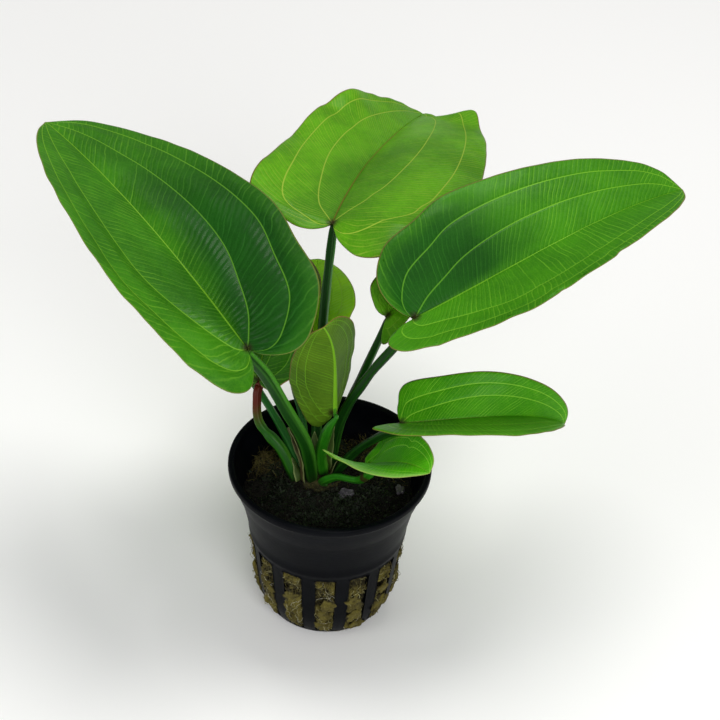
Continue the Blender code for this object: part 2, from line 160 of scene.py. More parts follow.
# =====================================================================
# Materials
# =====================================================================
class Look:
    """A node material; each call adds one node and gives back its output."""

    def __init__(self, name):
        self.mat = bpy.data.materials.new(name)
        self.mat.use_nodes = True
        self.nt = self.mat.node_tree
        self.bsdf = self.nt.nodes["Principled BSDF"]

    def put(self, socket, value):
        if isinstance(value, bpy.types.NodeSocket):
            self.nt.links.new(value, socket)
        else:
            socket.default_value = value

    def attr(self, name):
        n = self.nt.nodes.new("ShaderNodeAttribute")
        n.attribute_name = name
        return n.outputs["Fac"]

    def place(self):
        return self.nt.nodes.new("ShaderNodeTexCoord").outputs["Object"]

    def math(self, op, a, b=0.0, c=0.0, clamp=False):
        n = self.nt.nodes.new("ShaderNodeMath")
        n.operation = op
        n.use_clamp = clamp
        self.put(n.inputs[0], a)
        self.put(n.inputs[1], b)
        self.put(n.inputs[2], c)
        return n.outputs[0]

    def scaled(self, vec, factors):
        n = self.nt.nodes.new("ShaderNodeVectorMath")
        n.operation = "MULTIPLY"
        self.put(n.inputs[0], vec)
        n.inputs[1].default_value = factors
        return n.outputs[0]

    def combine(self, x, y, z=0.0):
        n = self.nt.nodes.new("ShaderNodeCombineXYZ")
        for i, v in enumerate((x, y, z)):
            self.put(n.inputs[i], v)
        return n.outputs[0]

    def noise(self, vec, scale, detail=3.0, rough=0.55, distort=0.0):
        n = self.nt.nodes.new("ShaderNodeTexNoise")
        self.put(n.inputs["Vector"], vec)
        n.inputs["Scale"].default_value = scale
        n.inputs["Detail"].default_value = detail
        n.inputs["Roughness"].default_value = rough
        n.inputs["Distortion"].default_value = distort
        return n.outputs["Fac"]

    def cells(self, vec, scale, feature="F1"):
        n = self.nt.nodes.new("ShaderNodeTexVoronoi")
        n.feature = feature
        self.put(n.inputs["Vector"], vec)
        n.inputs["Scale"].default_value = scale
        return n.outputs["Distance"]

    def ramp(self, x, lo, hi, out_lo=0.0, out_hi=1.0):
        n = self.nt.nodes.new("ShaderNodeMapRange")
        n.interpolation_type = "SMOOTHSTEP"
        self.put(n.inputs["Value"], x)
        n.inputs["From Min"].default_value = lo
        n.inputs["From Max"].default_value = hi
        n.inputs["To Min"].default_value = out_lo
        n.inputs["To Max"].default_value = out_hi
        return n.outputs["Result"]

    def mix(self, fac, a, b):
        n = self.nt.nodes.new("ShaderNodeMix")
        n.data_type = "RGBA"
        self.put(n.inputs["Factor"], fac)
        self.put(n.inputs[6], a)
        self.put(n.inputs[7], b)
        return n.outputs[2]

    def darken(self, fac, a, tint):
        n = self.nt.nodes.new("ShaderNodeMix")
        n.data_type = "RGBA"
        n.blend_type = "MULTIPLY"
        self.put(n.inputs["Factor"], fac)
        self.put(n.inputs[6], a)
        self.put(n.inputs[7], tint)
        return n.outputs[2]

    def bump(self, height, strength, distance, below=None):
        n = self.nt.nodes.new("ShaderNodeBump")
        n.inputs["Strength"].default_value = strength
        n.inputs["Distance"].default_value = distance
        self.put(n.inputs["Height"], height)
        if below is not None:
            self.put(n.inputs["Normal"], below)
        return n.outputs["Normal"]

    def set(self, **values):
        for key, v in values.items():
            self.put(self.bsdf.inputs[key.replace("_", " ")], v)
        return self.mat


def leaf_look(name, side, light, dark, vein, mid, margin, under=False, shade=0.0, shade_side=0, rough=0.42, spots=0.0, shade_reach=(6.0, 62.0), shade_hue=(0.32, 0.42, 0.80, 1), shade_edge=0.25, core=0.0, pale=None,
              sectors=(-0.8, -0.5, 0.0, 0.5, 0.8), cross=0.52, gloss=0.06):
    """Skin of a blade.

    Attributes of the mesh carry leaf coordinates: lf_u along the midrib, lf_b across,
    lf_ct the count of cross veins, lf_vm and lf_vp the distance from the midrib and from
    the nearest arched vein in vein widths, lf_edge millimetres to the margin and lf_r
    millimetres to the joint.
    """
    k = Look(name)
    place = k.place()
    b, u, ct = k.attr("lf_b"), k.attr("lf_u"), k.attr("lf_ct")
    # broad mottling, then fine
    big = k.noise(k.scaled(place, (1, 1, 1)), 55.0, 3.0, 0.6)
    fine = k.noise(place, 700.0, 3.0, 0.65)
    tone = k.math("ADD", k.math("MULTIPLY", big, 0.75), k.math("MULTIPLY", fine, 0.25))
    col = k.mix(k.ramp(tone, 0.32, 0.68), dark, light)
    # each field between two arched veins has its own set of rungs
    field = 0.0
    for i, s in enumerate(sectors):
        step = k.math("GREATER_THAN", b, s)
        field = k.math("ADD", field, k.math("MULTIPLY", step, 0.37 + 0.11 * i)) if i else k.math("MULTIPLY", step, 0.37)
    sway = k.noise(place, 230.0, 3.0, 0.6)
    drift = k.noise(place, 60.0, 2.0, 0.5)
    count = k.math("ADD", k.math("ADD", ct, field), k.math("MULTIPLY", k.math("SUBTRACT", sway, 0.5), 0.5))
    count = k.math("ADD", count, k.math("MULTIPLY", drift, 3.0))

    def rungs(cnt, thin, seed):
        """Thin lines at whole numbers of cnt, each with its own strength, broken here and there."""
        o = k.math("SUBTRACT", 0.5, k.math("ABSOLUTE", k.math("SUBTRACT", k.math("FRACT", cnt), 0.5)))
        line = k.ramp(o, thin * 0.35, thin, 1.0, 0.0)
        n = k.nt.nodes.new("ShaderNodeTexWhiteNoise")
        n.noise_dimensions = "2D"
        k.put(n.inputs["Vector"], k.combine(k.math("FLOOR", k.math("ADD", cnt, 0.5)), k.math("ADD", field, seed)))
        weight = k.ramp(n.outputs["Value"], 0.0, 0.8, 0.15, 1.0)
        return o, k.math("MULTIPLY", line, weight)

    off, rung = rungs(count, 0.125, 0.0)
    patch = k.ramp(k.noise(place, 170.0, 2.0, 0.5), 0.38, 0.60, 0.35, 1.0)
    rung = k.math("MULTIPLY", rung, patch)
    other = k.math("ADD", k.math("MULTIPLY", count, 2.0), k.math("MULTIPLY", k.math("SUBTRACT", k.noise(place, 420.0, 2.0, 0.5), 0.5), 0.9))
    _, minor = rungs(other, 0.16, 5.0)
    minor = k.math("MULTIPLY", minor, k.ramp(k.noise(k.scaled(place, (1.3, 1, 1)), 240.0, 2.0, 0.5), 0.46, 0.58))
    vor = k.nt.nodes.new("ShaderNodeTexVoronoi")
    vor.feature = "DISTANCE_TO_EDGE"
    k.put(vor.inputs["Vector"], place)
    vor.inputs["Scale"].default_value = 1100.0
    net = k.ramp(vor.outputs["Distance"], 0.03, 0.14, 1.0, 0.0)
    col = k.mix(k.math("MULTIPLY", net, 0.07), col, vein)
    col = k.mix(k.math("MULTIPLY", minor, cross * 0.32), col, vein)
    col = k.mix(k.math("MULTIPLY", rung, cross), col, vein)
    # arched veins and midrib
    arch = k.ramp(k.attr("lf_vp"), 0.45, 1.35, 1.0, 0.0)
    col = k.mix(k.math("MULTIPLY", arch, 0.80), col, vein)
    rib = k.ramp(k.attr("lf_vm"), 0.5, 1.3, 1.0, 0.0)
    col = k.mix(k.math("MULTIPLY", rib, 0.90), col, mid)
    # painted shade: the colour is darkened towards the joint and on one half, standing in for the shade and cast shadow
    # that fall on the blade there
    if shade > 0:
        away = k.ramp(k.attr("lf_r"), shade_reach[0], shade_reach[1], 1.0, 0.0)
        if shade_side > 0:
            halfmask = k.ramp(b, -0.10, 0.42)
        elif shade_side < 0:
            halfmask = k.ramp(b, -0.22, 0.10, 1.0, 0.0)
        else:
            halfmask = k.ramp(k.math("ABSOLUTE", b), 0.2, 0.8, 1.0, 0.0)
        edge_fade = k.ramp(k.attr("lf_edge"), 0.3, 6.0, shade_edge, 1.0)
        m = k.math("MULTIPLY", k.math("MULTIPLY", away, halfmask), edge_fade)
        col = k.darken(k.math("MULTIPLY", m, shade), col, shade_hue)
        if core > 0:
            # painted shade, deeper still, on the left half between the midrib and the inner arched vein near the joint
            near = k.math("MULTIPLY", k.ramp(b, -0.62, -0.40), k.ramp(b, -0.08, 0.02, 1.0, 0.0))
            near = k.math("MULTIPLY", near, k.ramp(k.attr("lf_r"), 12.0, 50.0, 1.0, 0.0))
            col = k.darken(k.math("MULTIPLY", near, core), col, shade_hue)
        col = k.mix(k.math("MULTIPLY", arch, 0.40), col, vein)
        col = k.mix(k.math("MULTIPLY", rib, 0.50), col, mid)
    if pale is not None:
        side_at, full_at, strength, hue = pale
        col = k.mix(k.ramp(b, side_at, full_at, 0.0, strength), col, hue)
    # a thin pale line along the margin
    edge = k.attr("lf_edge")
    col = k.mix(k.ramp(edge, 0.12, 0.42, 0.9, 0.0), col, margin)
    # brown where the stalk meets the blade
    joint = k.attr("lf_r")
    knot = k.ramp(k.math("ADD", joint, k.math("MULTIPLY", k.noise(place, 900.0, 2.0), 1.2)), 0.9, 3.0, 1.0, 0.0)
    col = k.mix(k.math("MULTIPLY", knot, 0.9), col, lin(38, 24, 12))
    if spots > 0:
        sp = k.ramp(k.cells(place, 210.0), 0.05, 0.13, spots, 0.0)
        gate = k.ramp(k.noise(place, 90.0, 1.0), 0.56, 0.62)
        col = k.mix(k.math("MULTIPLY", sp, gate), col, lin(74, 48, 14))
    # tiny skin cells and rungs in relief
    skin = k.cells(place, 2600.0)
    relief = k.math("ADD", k.math("MULTIPLY", off, 1.6 if not under else -1.2), k.math("MULTIPLY", skin, 0.10))
    relief = k.math("ADD", relief, k.math("MULTIPLY", k.noise(place, 380.0, 3.0, 0.6), 0.35))
    nrm = k.bump(relief, 0.35, 0.00022)
    r = k.math("ADD", rough, k.math("MULTIPLY", k.noise(place, 120.0, 3.0, 0.6), 0.16))
    r = k.math("ADD", r, k.math("MULTIPLY", rung, 0.08))
    k.set(Base_Color=col, Roughness=r, Normal=nrm)
    k.bsdf.inputs["Coat Weight"].default_value = 0.0 if under else gloss
    k.bsdf.inputs["Coat Roughness"].default_value = 0.16
    k.bsdf.inputs["Specular IOR Level"].default_value = 0.11 if not under else 0.10
    k.bsdf.inputs["Subsurface Weight"].default_value = 0.0
    return k.mat


def stalk_look(name, green, edge, top, top_from, rough=0.40, fleck=0.30, band=None):
    """A ribbed stalk: st_t runs from foot 0 to joint 1, st_a round it, st_rib is 1 on a rib, st_wing 1 on the side that
    faces +X, where a painted highlight goes.

    band  a bruised place: (from, to, colour)
    """
    k = Look(name)
    place = k.place()
    t, rib = k.attr("st_t"), k.attr("st_rib")
    along = k.noise(k.combine(k.math("MULTIPLY", k.attr("st_a"), 7.0), k.math("MULTIPLY", t, 2.2)), 2.6, 4.0, 0.6)
    col = k.mix(k.ramp(along, 0.3, 0.7), (green[0] * 0.55, green[1] * 0.62, green[2] * 0.55, 1), green)
    col = k.mix(k.math("MULTIPLY", k.ramp(rib, 0.6, 1.0), 0.15), col, edge)
    # painted highlight: the side of the stalk that faces the light is mixed towards the pale edge colour
    col = k.mix(k.math("MULTIPLY", k.attr("st_wing"), 0.75), col, edge)
    dots = k.ramp(k.noise(k.scaled(place, (1, 1, 0.35)), 1500.0, 2.0, 0.5), 0.60, 0.72, 0.0, fleck)
    col = k.mix(dots, col, (green[0] * 0.3, green[1] * 0.35, green[2] * 0.3, 1))
    shifted = k.math("ADD", t, k.math("MULTIPLY", k.math("SUBTRACT", k.noise(place, 300.0, 2.0), 0.5), 0.12))
    col = k.mix(k.ramp(shifted, top_from, min(1.0, top_from + 0.3)), col, top)
    if band is not None:
        lo, hi, hue = band
        b = k.math("MULTIPLY", k.ramp(shifted, lo - 0.03, lo + 0.01), k.ramp(shifted, hi - 0.01, hi + 0.03, 1.0, 0.0))
        col = k.mix(k.math("MULTIPLY", b, k.ramp(k.noise(place, 800.0, 3.0, 0.6), 0.3, 0.5, 0.55, 0.95)), col, hue)
    col = k.mix(k.ramp(t, 0.0, 0.16, 0.75, 0.0), col, lin(22, 40, 12))
    relief = k.math("ADD", k.noise(k.scaled(place, (1, 1, 0.2)), 1800.0, 3.0, 0.6), k.math("MULTIPLY", rib, 0.6))
    k.set(Base_Color=col, Roughness=k.math("ADD", rough, k.math("MULTIPLY", along, 0.14)), Normal=k.bump(relief, 0.25, 0.0002))
    k.bsdf.inputs["Specular IOR Level"].default_value = 0.16
    k.bsdf.inputs["Coat Weight"].default_value = 0.05
    k.bsdf.inputs["Coat Roughness"].default_value = 0.18
    return k.mat


def plastic_look():
    k = Look("pot_black_plastic")
    place = k.place()
    worn = k.noise(place, 90.0, 4.0, 0.6)
    col = k.mix(k.ramp(worn, 0.35, 0.75), lin(3, 4, 7), lin(8, 10, 14))
    dust = k.ramp(k.noise(place, 900.0, 4.0, 0.7), 0.58, 0.75, 0.0, 0.35)
    col = k.mix(dust, col, lin(26, 28, 30))
    grain = k.noise(place, 2600.0, 3.0, 0.6)
    fine = k.noise(k.scaled(place, (1, 1, 4)), 500.0, 2.0, 0.5)
    r = k.math("ADD", 0.30, k.math("MULTIPLY", worn, 0.22))
    k.set(Base_Color=col, Roughness=r, Normal=k.bump(k.math("ADD", k.math("MULTIPLY", grain, 0.6), fine), 0.18, 0.00015))
    k.bsdf.inputs["Specular IOR Level"].default_value = 0.045
    return k.mat


def wool_look(name, lo, hi, tip, green=None, hollow=None):
    k = Look(name)
    place = k.place()
    n1 = k.noise(place, 210.0, 4.0, 0.65)
    n2 = k.noise(place, 1600.0, 3.0, 0.7)
    col = k.mix(k.ramp(n1, 0.34, 0.68), lo, hi)
    col = k.mix(k.ramp(n2, 0.52, 0.75, 0.0, 0.7), col, tip)
    if green is not None:
        col = k.mix(k.ramp(k.noise(place, 130.0, 3.0, 0.6), 0.46, 0.6), col, green)
    elif hollow is not None:
        # painted shade: wool lying back behind the wall, out of the light, is darkened
        col = k.mix(k.ramp(k.math("ADD", k.attr("wl_out"), k.math("MULTIPLY", n1, 0.3)), 0.30, 0.95, 0.92, 0.0), col, hollow)
    k.set(Base_Color=col, Roughness=0.88, Normal=k.bump(k.math("ADD", n2, n1), 0.7, 0.0006))
    k.bsdf.inputs["Specular IOR Level"].default_value = 0.25
    return k.mat


def fibre_look(name, base, tip, rough=0.62):
    """Loose fibres: fb_s is each one's own shade, fb_t runs from its root to its tip."""
    k = Look(name)
    col = k.mix(k.attr("fb_s"), base, tip)
    col = k.mix(k.math("MULTIPLY", k.attr("fb_t"), 0.35), col, tip)
    k.set(Base_Color=col, Roughness=k.math("ADD", rough, k.math("MULTIPLY", k.attr("fb_s"), 0.15)))
    k.bsdf.inputs["Specular IOR Level"].default_value = 0.35
    return k.mat


def stone_look():
    k = Look("stone_slate")
    place = k.place()
    n1 = k.noise(place, 420.0, 5.0, 0.65)
    col = k.mix(k.ramp(n1, 0.3, 0.7), lin(52, 48, 56), lin(98, 93, 100))
    col = k.mix(k.ramp(k.noise(place, 1900.0, 3.0, 0.7), 0.55, 0.75), col, lin(124, 118, 122))
    k.set(Base_Color=col, Roughness=k.math("ADD", 0.42, k.math("MULTIPLY", n1, 0.3)),
          Normal=k.bump(k.noise(k.scaled(place, (1, 1, 3)), 1100.0, 5.0, 0.7), 0.6, 0.0003))
    return k.mat


def sheath_look(name, body, dry, edge):
    """A dry sheath: sh_e is 1 at its edges, sh_t runs from foot to tip."""
    k = Look(name)
    place = k.place()
    streak = k.noise(k.combine(k.math("MULTIPLY", k.attr("sh_w"), 14.0), k.math("MULTIPLY", k.attr("sh_t"), 1.6)), 2.4, 4.0, 0.6)
    col = k.mix(k.ramp(streak, 0.35, 0.68), body, dry)
    col = k.mix(k.ramp(k.attr("sh_e"), 0.72, 0.97, 0.0, 0.9), col, edge)
    k.set(Base_Color=col, Roughness=k.math("ADD", 0.42, k.math("MULTIPLY", streak, 0.25)), Normal=k.bump(streak, 0.5, 0.0003))
    return k.mat


# =====================================================================
# Pot: one closed wall, turned, with the slots left open in it
# =====================================================================
def outer_radius(z):
    for (r0, z0), (r1, z1) in zip(POT_OUTER, POT_OUTER[1:]):
        if z1 <= z <= z0:
            return r1 + (r0 - r1) * (z - z1) / max(z0 - z1, 1e-9)
    return POT_OUTER[-1][0]


def build_pot(mat):
    slot_cells, bar_cells = 8, 6
    slot_half = SLOT_W / 2 / 20.6
    pitch = TAU / SLOTS
    theta, inside = [], []
    for i in range(SLOTS):
        c = -math.pi / 2 + i * pitch
        for q in range(slot_cells):
            theta.append(c - slot_half + 2 * slot_half * q / slot_cells)
            inside.append(True)
        for q in range(bar_cells):
            theta.append(c + slot_half + (pitch - 2 * slot_half) * q / bar_cells)
            inside.append(False)
    theta, inside = np.array(theta), np.array(inside)
    nth = len(theta)
    slot_z = [SLOT_Z0, 2.6, 3.6, 5, 7, 9.5, 12, 15, 18, 21, 23.4, 24.7, SLOT_Z1]
    up = [(15.4, 0.0), (16.1, 0.35), (16.7, 1.0)]
    up += [(outer_radius(z), z) for z in slot_z]
    # a shallow bead runs round the wall over the slots, and another under the lip
    up += [(outer_radius(26.3), 26.3), (outer_radius(27) + 0.22, 27.0), (outer_radius(27.8) + 0.22, 27.8), (outer_radius(28.6), 28.6)]
    up += [(outer_radius(z), z) for z in (31, 34, 37, 39.5)]
    up += [(24.25, 40.3), (24.95, 42.0), (25.65, 44.2), (26.25, 46.2), (26.65, 47.5)]
    lip = [(26.95, 47.85), (27.3, 48.0), (27.46, 48.25), (27.5, 48.6), (27.5, 49.35), (27.42, 49.7), (27.2, 49.93), (26.9, 50.0),
           (26.3, 50.0), (25.98, 49.93), (25.78, 49.7), (25.7, 49.35), (25.68, 48.6)]
    down = [(25.6, 47.2), (25.2, 45.6), (24.6, 43.6), (23.9, 41.6), (23.3, 40.0)]
    down += [(outer_radius(z) - WALL, z) for z in (37, 34, 31, 28.6, 27.8, 27, 26.3)]
    down += [(outer_radius(z) - WALL, z) for z in reversed(slot_z)]
    down += [(15.2, 1.25), (14.6, 1.1)]
    rows = up + lip + down
    kind = ["u"] * len(up) + ["l"] * len(lip) + ["d"] * len(down)
    verts = []
    for (r, z) in rows:
        for t, ins in zip(theta, inside):
            verts.append((r * math.cos(t), r * math.sin(t), z))
    verts = np.array(verts).reshape(len(rows), nth, 3)
    # the slots' ends are round: their edge rows bend towards the middle of the slot
    for k, (r, z) in enumerate(rows):
        for end, sgn, reach in ((SLOT_Z1, -1, 0.45), (SLOT_Z0, 1, 0.4)):
            if abs(z - end) < 1e-6 and kind[k] in "ud":
                for i in range(SLOTS):
                    for q in range(slot_cells + 1):
                        x = 2 * q / slot_cells - 1
                        verts[k, (i * (slot_cells + bar_cells) + q) % nth, 2] += sgn * reach * abs(x) ** 7
    flat = verts.reshape(-1, 3)
    top_u = len(up)
    is_slot_row = [kind[k] == "u" and SLOT_Z0 - 1e-6 <= rows[k][1] <= SLOT_Z1 - 1e-6 for k in range(len(rows))]
    is_slot_row_d = [kind[k] == "d" and SLOT_Z0 + 1e-6 <= rows[k][1] <= SLOT_Z1 + 1e-6 for k in range(len(rows))]
    faces = []
    vid = lambda k, j: k * nth + j % nth
    for k in range(len(rows) - 1):
        for j in range(nth):
            if inside[j] and (is_slot_row[k] or is_slot_row_d[k]):
                continue
            faces.append((vid(k, j), vid(k, j + 1), vid(k + 1, j + 1), vid(k + 1, j)))
    # the cut faces of the slots, from the outer skin to the inner
    u_rows = [k for k in range(len(rows)) if kind[k] == "u" and SLOT_Z0 - 1e-6 <= rows[k][1] <= SLOT_Z1 + 1e-6]
    d_rows = [k for k in range(len(rows)) if kind[k] == "d" and SLOT_Z0 - 1e-6 <= rows[k][1] <= SLOT_Z1 + 1e-6][::-1]
    for i in range(SLOTS):
        j0 = i * (slot_cells + bar_cells)
        j1 = j0 + slot_cells
        for (ua, ub), (da, db) in zip(zip(u_rows, u_rows[1:]), zip(d_rows, d_rows[1:])):
            faces.append((vid(ua, j0), vid(ub, j0), vid(db, j0), vid(da, j0)))
            faces.append((vid(ub, j1), vid(ua, j1), vid(da, j1), vid(db, j1)))
        for j in range(j0, j1):
            faces.append((vid(u_rows[0], j + 1), vid(u_rows[0], j), vid(d_rows[0], j), vid(d_rows[0], j + 1)))
            faces.append((vid(u_rows[-1], j), vid(u_rows[-1], j + 1), vid(d_rows[-1], j + 1), vid(d_rows[-1], j)))
    c0, c1 = len(flat), len(flat) + 1
    flat = np.vstack([flat, [(0, 0, 0.0)], [(0, 0, 1.1)]])
    last = len(rows) - 1
    for j in range(nth):
        faces.append((c0, vid(0, j + 1), vid(0, j)))
        faces.append((c1, vid(last, j), vid(last, j + 1)))
    ob = make("pot_shell", flat, faces, [mat])
    bev = ob.modifiers.new("edges", "BEVEL")
    bev.width = 0.00022
    bev.segments = 2
    bev.limit_method = "ANGLE"
    bev.angle_limit = math.radians(38)
    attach(ob, "root")
    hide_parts("pot")
    return ob


# =====================================================================
# Blades
# =====================================================================
def along(three, u):
    v0, v1, v2 = three
    return v0 + (4 * v1 - 3 * v0 - v2) * u + 2 * (v0 - 2 * v1 + v2) * u * u


def midrib(leaf, n=160):
    u = np.linspace(0, 1, n + 1)
    az, el, ro = (np.radians(along(leaf[k], u)) for k in ("heading", "rise", "roll"))
    t = np.stack([np.cos(el) * np.cos(az), np.cos(el) * np.sin(az), np.sin(el)], -1)
    s0 = np.stack([-np.sin(az), np.cos(az), 0 * az], -1)
    n0 = np.cross(t, s0)
    side = np.cos(ro)[:, None] * s0 + np.sin(ro)[:, None] * n0
    norm = -np.sin(ro)[:, None] * s0 + np.cos(ro)[:, None] * n0
    step = leaf["length"] / n
    p = np.array(leaf["joint"], float) + np.vstack([np.zeros(3), np.cumsum((t[1:] + t[:-1]) / 2 * step, axis=0)])
    return u * leaf["length"], p, t, side, norm


def lift(leaf, s, w, hand):
    """Flat leaf coordinates (along, across) on one half to space: fold, curl and wave."""
    st, p, t, side, norm = midrib(leaf)
    hf = leaf["left" if hand > 0 else "right"]
    sc = np.clip(s, 0, leaf["length"])
    at = lambda x: np.stack([np.interp(sc, st, x[:, k]) for k in range(3)], -1)
    pp, tt, ss, nn = at(p), at(t), at(side), at(norm)
    droop = math.radians(leaf["droop"])
    pp = pp + (s - sc)[..., None] * (math.cos(droop) * tt + math.sin(droop) * nn)
    u = sc / leaf["length"]
    f0, f1 = hf["fold"]
    phi = np.radians(f0 + (f1 - f0) * u)
    k = math.radians(hf["curl"] if abs(hf["curl"]) > 0.05 else 0.05) / hf["width"]
    x = (np.sin(phi + k * w) - np.sin(phi)) / k
    y = (np.cos(phi) - np.cos(phi + k * w)) / k
    amp, cycles, phase = hf["wave"]
    y = y + amp * np.sin(TAU * (cycles * u + phase)) * np.clip(w / hf["width"], 0, 1.2) ** 2.5
    return pp + hand * x[..., None] * ss + y[..., None] * nn


def even(c, u):
    d = np.r_[0, np.cumsum(np.linalg.norm(np.diff(c, axis=0), axis=1))]
    return np.stack([np.interp(u, d / d[-1], c[:, k]) for k in range(c.shape[1])], -1), d[-1]


def spline(points, per=24):
    p = np.asarray(points, float)
    q = np.vstack([2 * p[0] - p[1], p, 2 * p[-1] - p[-2]])
    out = []
    for i in range(len(p) - 1):
        a, b, c, d = q[i], q[i + 1], q[i + 2], q[i + 3]
        t = np.linspace(0, 1, per, endpoint=False)[:, None]
        out.append(0.5 * (2 * b + (c - a) * t + (2 * a - 5 * b + 4 * c - d) * t * t + (3 * b - a - 3 * c + d) * t ** 3))
    out.append(p[-1:])
    return np.vstack(out)


def outline(leaf, hand, u):
    """The margin of one half, from the stalk round the basal lobe to the tip."""
    h = leaf["left" if hand > 0 else "right"]
    n, w, lobe, wide = leaf["length"], h["width"], h["lobe"], h["widest"]
    rear = [(0.0, 0.0), (-0.55 * lobe, 0.09 * w), (-lobe, 0.28 * w), (-0.85 * lobe, 0.52 * w),
            (0.02 * n, h["shoulder"] * w), (0.55 * wide * n, (0.45 * h["shoulder"] + 0.55) * w)]
    front = [(n * (wide + (1 - wide) * q), w * (1 - q ** 1.5) ** h["tip"]) for q in (0.0, 0.3, 0.6, 0.82, 0.94)]
    return even(spline(rear + front + [(n, 0.0)]), u)


def share_of(b, a):
    """How far across the row at station a the vein line b lies: the lines bunch at the joint."""
    b = abs(b)
    return np.ones_like(a) if b >= 1 else b ** (1 + 3.5 * (1 - a) ** 4)


def build_blade(key, veins, rows, cols, upper, lower, seed, spacing=1.45, lean=(24, 24), quilt=0.10, ripple=0.30,
                thick=0.55, nicks=(), lifts=(), stout=1.0):
    """One blade, closed, with its own upper and lower skins.

    veins    the arched veins as shares of each half: two left, two right
    spacing  millimetres between the fine cross veins, and lean their slant to the tip, left and right
    quilt    how far the skin puffs up between them
    nicks    places on the margin that are torn: (hand, station, depth, width)
    lifts    places where the margin turns up or sags: (hand, station, height, width)
    """
    leaf = LEAVES[key]
    vl, vr = veins
    a = np.linspace(0, 1, rows + 1)
    base = set(np.round(np.linspace(-1, 1, cols + 1), 4))
    exact = [0.0] + [-v for v in vl] + list(vr)
    width = 0.5 * (leaf["left"]["width"] + leaf["right"]["width"])
    grid = []
    for e in exact:
        for o in (0.0, 0.32 / width, -0.32 / width, 0.75 / width, -0.75 / width):
            grid.append(e + o)
    keep = [g for g in base if min(abs(g - x) for x in grid) > 0.35 * 2 / cols or abs(g) >= 0.999]
    rim = 0.28 / width
    b = np.array(sorted(set(np.round(grid + keep + [1 - rim, rim - 1, 1 - 3 * rim, 3 * rim - 1], 5))))
    b = b[(b >= -1) & (b <= 1)]
    nb = len(b)
    L = leaf["length"]
    mid = np.stack([L * a ** 1.7, 0 * a], -1)
    edges, total = {}, {}
    for hand in (1, -1):
        e, total[hand] = outline(leaf, hand, a)
        for h, st, depth, wid in nicks:
            if h == hand:
                pull = depth * np.exp(-((a - st) * total[hand] / wid) ** 2)
                d = mid - e
                e = e + d / np.maximum(np.linalg.norm(d, axis=1), 1e-6)[:, None] * pull[:, None]
        edges[hand] = e
    P = np.zeros((rows + 1, nb, 3))
    W = np.zeros((rows + 1, nb))
    S = np.zeros((rows + 1, nb))
    near_v = np.full((rows + 1, nb), 99.0)
    near_m = np.full((rows + 1, nb), 99.0)
    edge_d = np.zeros((rows + 1, nb))
    for j, bb in enumerate(b):
        hand = 1 if bb <= 0 else -1
        sh = share_of(bb, a)
        span = edges[hand] - mid
        reach = np.linalg.norm(span, axis=1)
        sw = mid + sh[:, None] * span
        S[:, j], W[:, j] = sw[:, 0], sw[:, 1]
        P[:, j] = lift(leaf, sw[:, 0], sw[:, 1], hand)
        edge_d[:, j] = (1 - sh) * reach
        near_m[:, j] = sh * reach
        for v in (vl if hand > 0 else vr):
            near_v[:, j] = np.minimum(near_v[:, j], np.abs(sh - share_of(v, a)) * reach)
    # width of the veins: they thin out towards the tip
    A = a[:, None] + 0 * W
    wm = (0.34 - 0.20 * A) * (0.7 + 0.3 * L / 90) * (1 + (stout - 1) * (1 - A))
    wv = (0.21 - 0.10 * A) * (0.7 + 0.3 * L / 90)
    vm, vp = near_m / wm, near_v / wv
    # count of cross veins: arc length of the line half way out, slanted to the tip
    half_line = mid + 0.5 * (edges[1] + edges[-1] * [1, 1] - 2 * mid) * 0.5
    arc = np.r_[0, np.cumsum(np.linalg.norm(np.diff(half_line, axis=0), axis=1))]
    slant = np.where(b <= 0, math.tan(math.radians(lean[0])), math.tan(math.radians(lean[1])))
    ct = (arc[:, None] - slant[None, :] * W + 40) / spacing
    # normals of the smooth sheet
    da = np.gradient(P, axis=0)
    db = np.gradient(P, axis=1)
    N = np.cross(db, da)
    ln = np.linalg.norm(N, axis=-1)
    N = N / np.maximum(ln, 1e-9)[..., None]
    N[0] = N[2]
    N[1] = N[2]
    N[-1] = N[-3]
    N[-2] = N[-3]
    st, mp, mt, ms, mn = midrib(leaf)
    if np.sum(N[rows // 2] * np.array([mn[80]])) < 0:
        N = -N
    # gentle unevenness of the whole sheet, stronger at the margin, and none at the joint
    free = smooth(np.hypot(S, W), 1.5, 14)
    wob = ripple * (0.45 * waves(P, seed, 17) + 0.75 * waves(P, seed + 1, 9) * smooth(-edge_d, -7, 0)) * free
    for h, st_at, high, wid in lifts:
        near = np.exp(-((A - st_at) * total[h] / wid) ** 2) * smooth(-edge_d, -2.6 * wid, 0.0)
        wob = wob + high * near * (b[None, :] <= 0 if h > 0 else b[None, :] > 0)
    P = P + N * wob[..., None]
    dist = np.hypot(S, W)
    # between the cross veins the skin is puffed, most of all near the joint beside the midrib
    sect = np.zeros_like(ct)
    for i, s in enumerate(sorted(exact)):
        sect += (b[None, :] > s) * (0.37 + 0.11 * i)
    off = 0.5 - np.abs(np.mod(ct + sect, 1) - 0.5)
    puff = (off * 2) ** 0.7
    body = smooth(near_v, 0.2, 1.6) * smooth(near_m, 0.3, 1.8) * smooth(edge_d, 0.5, 3.0) * smooth(dist, 2, 7)
    q = quilt * (0.12 + 1.25 * np.exp(-(dist / (0.36 * L)) ** 2)) * body * puff
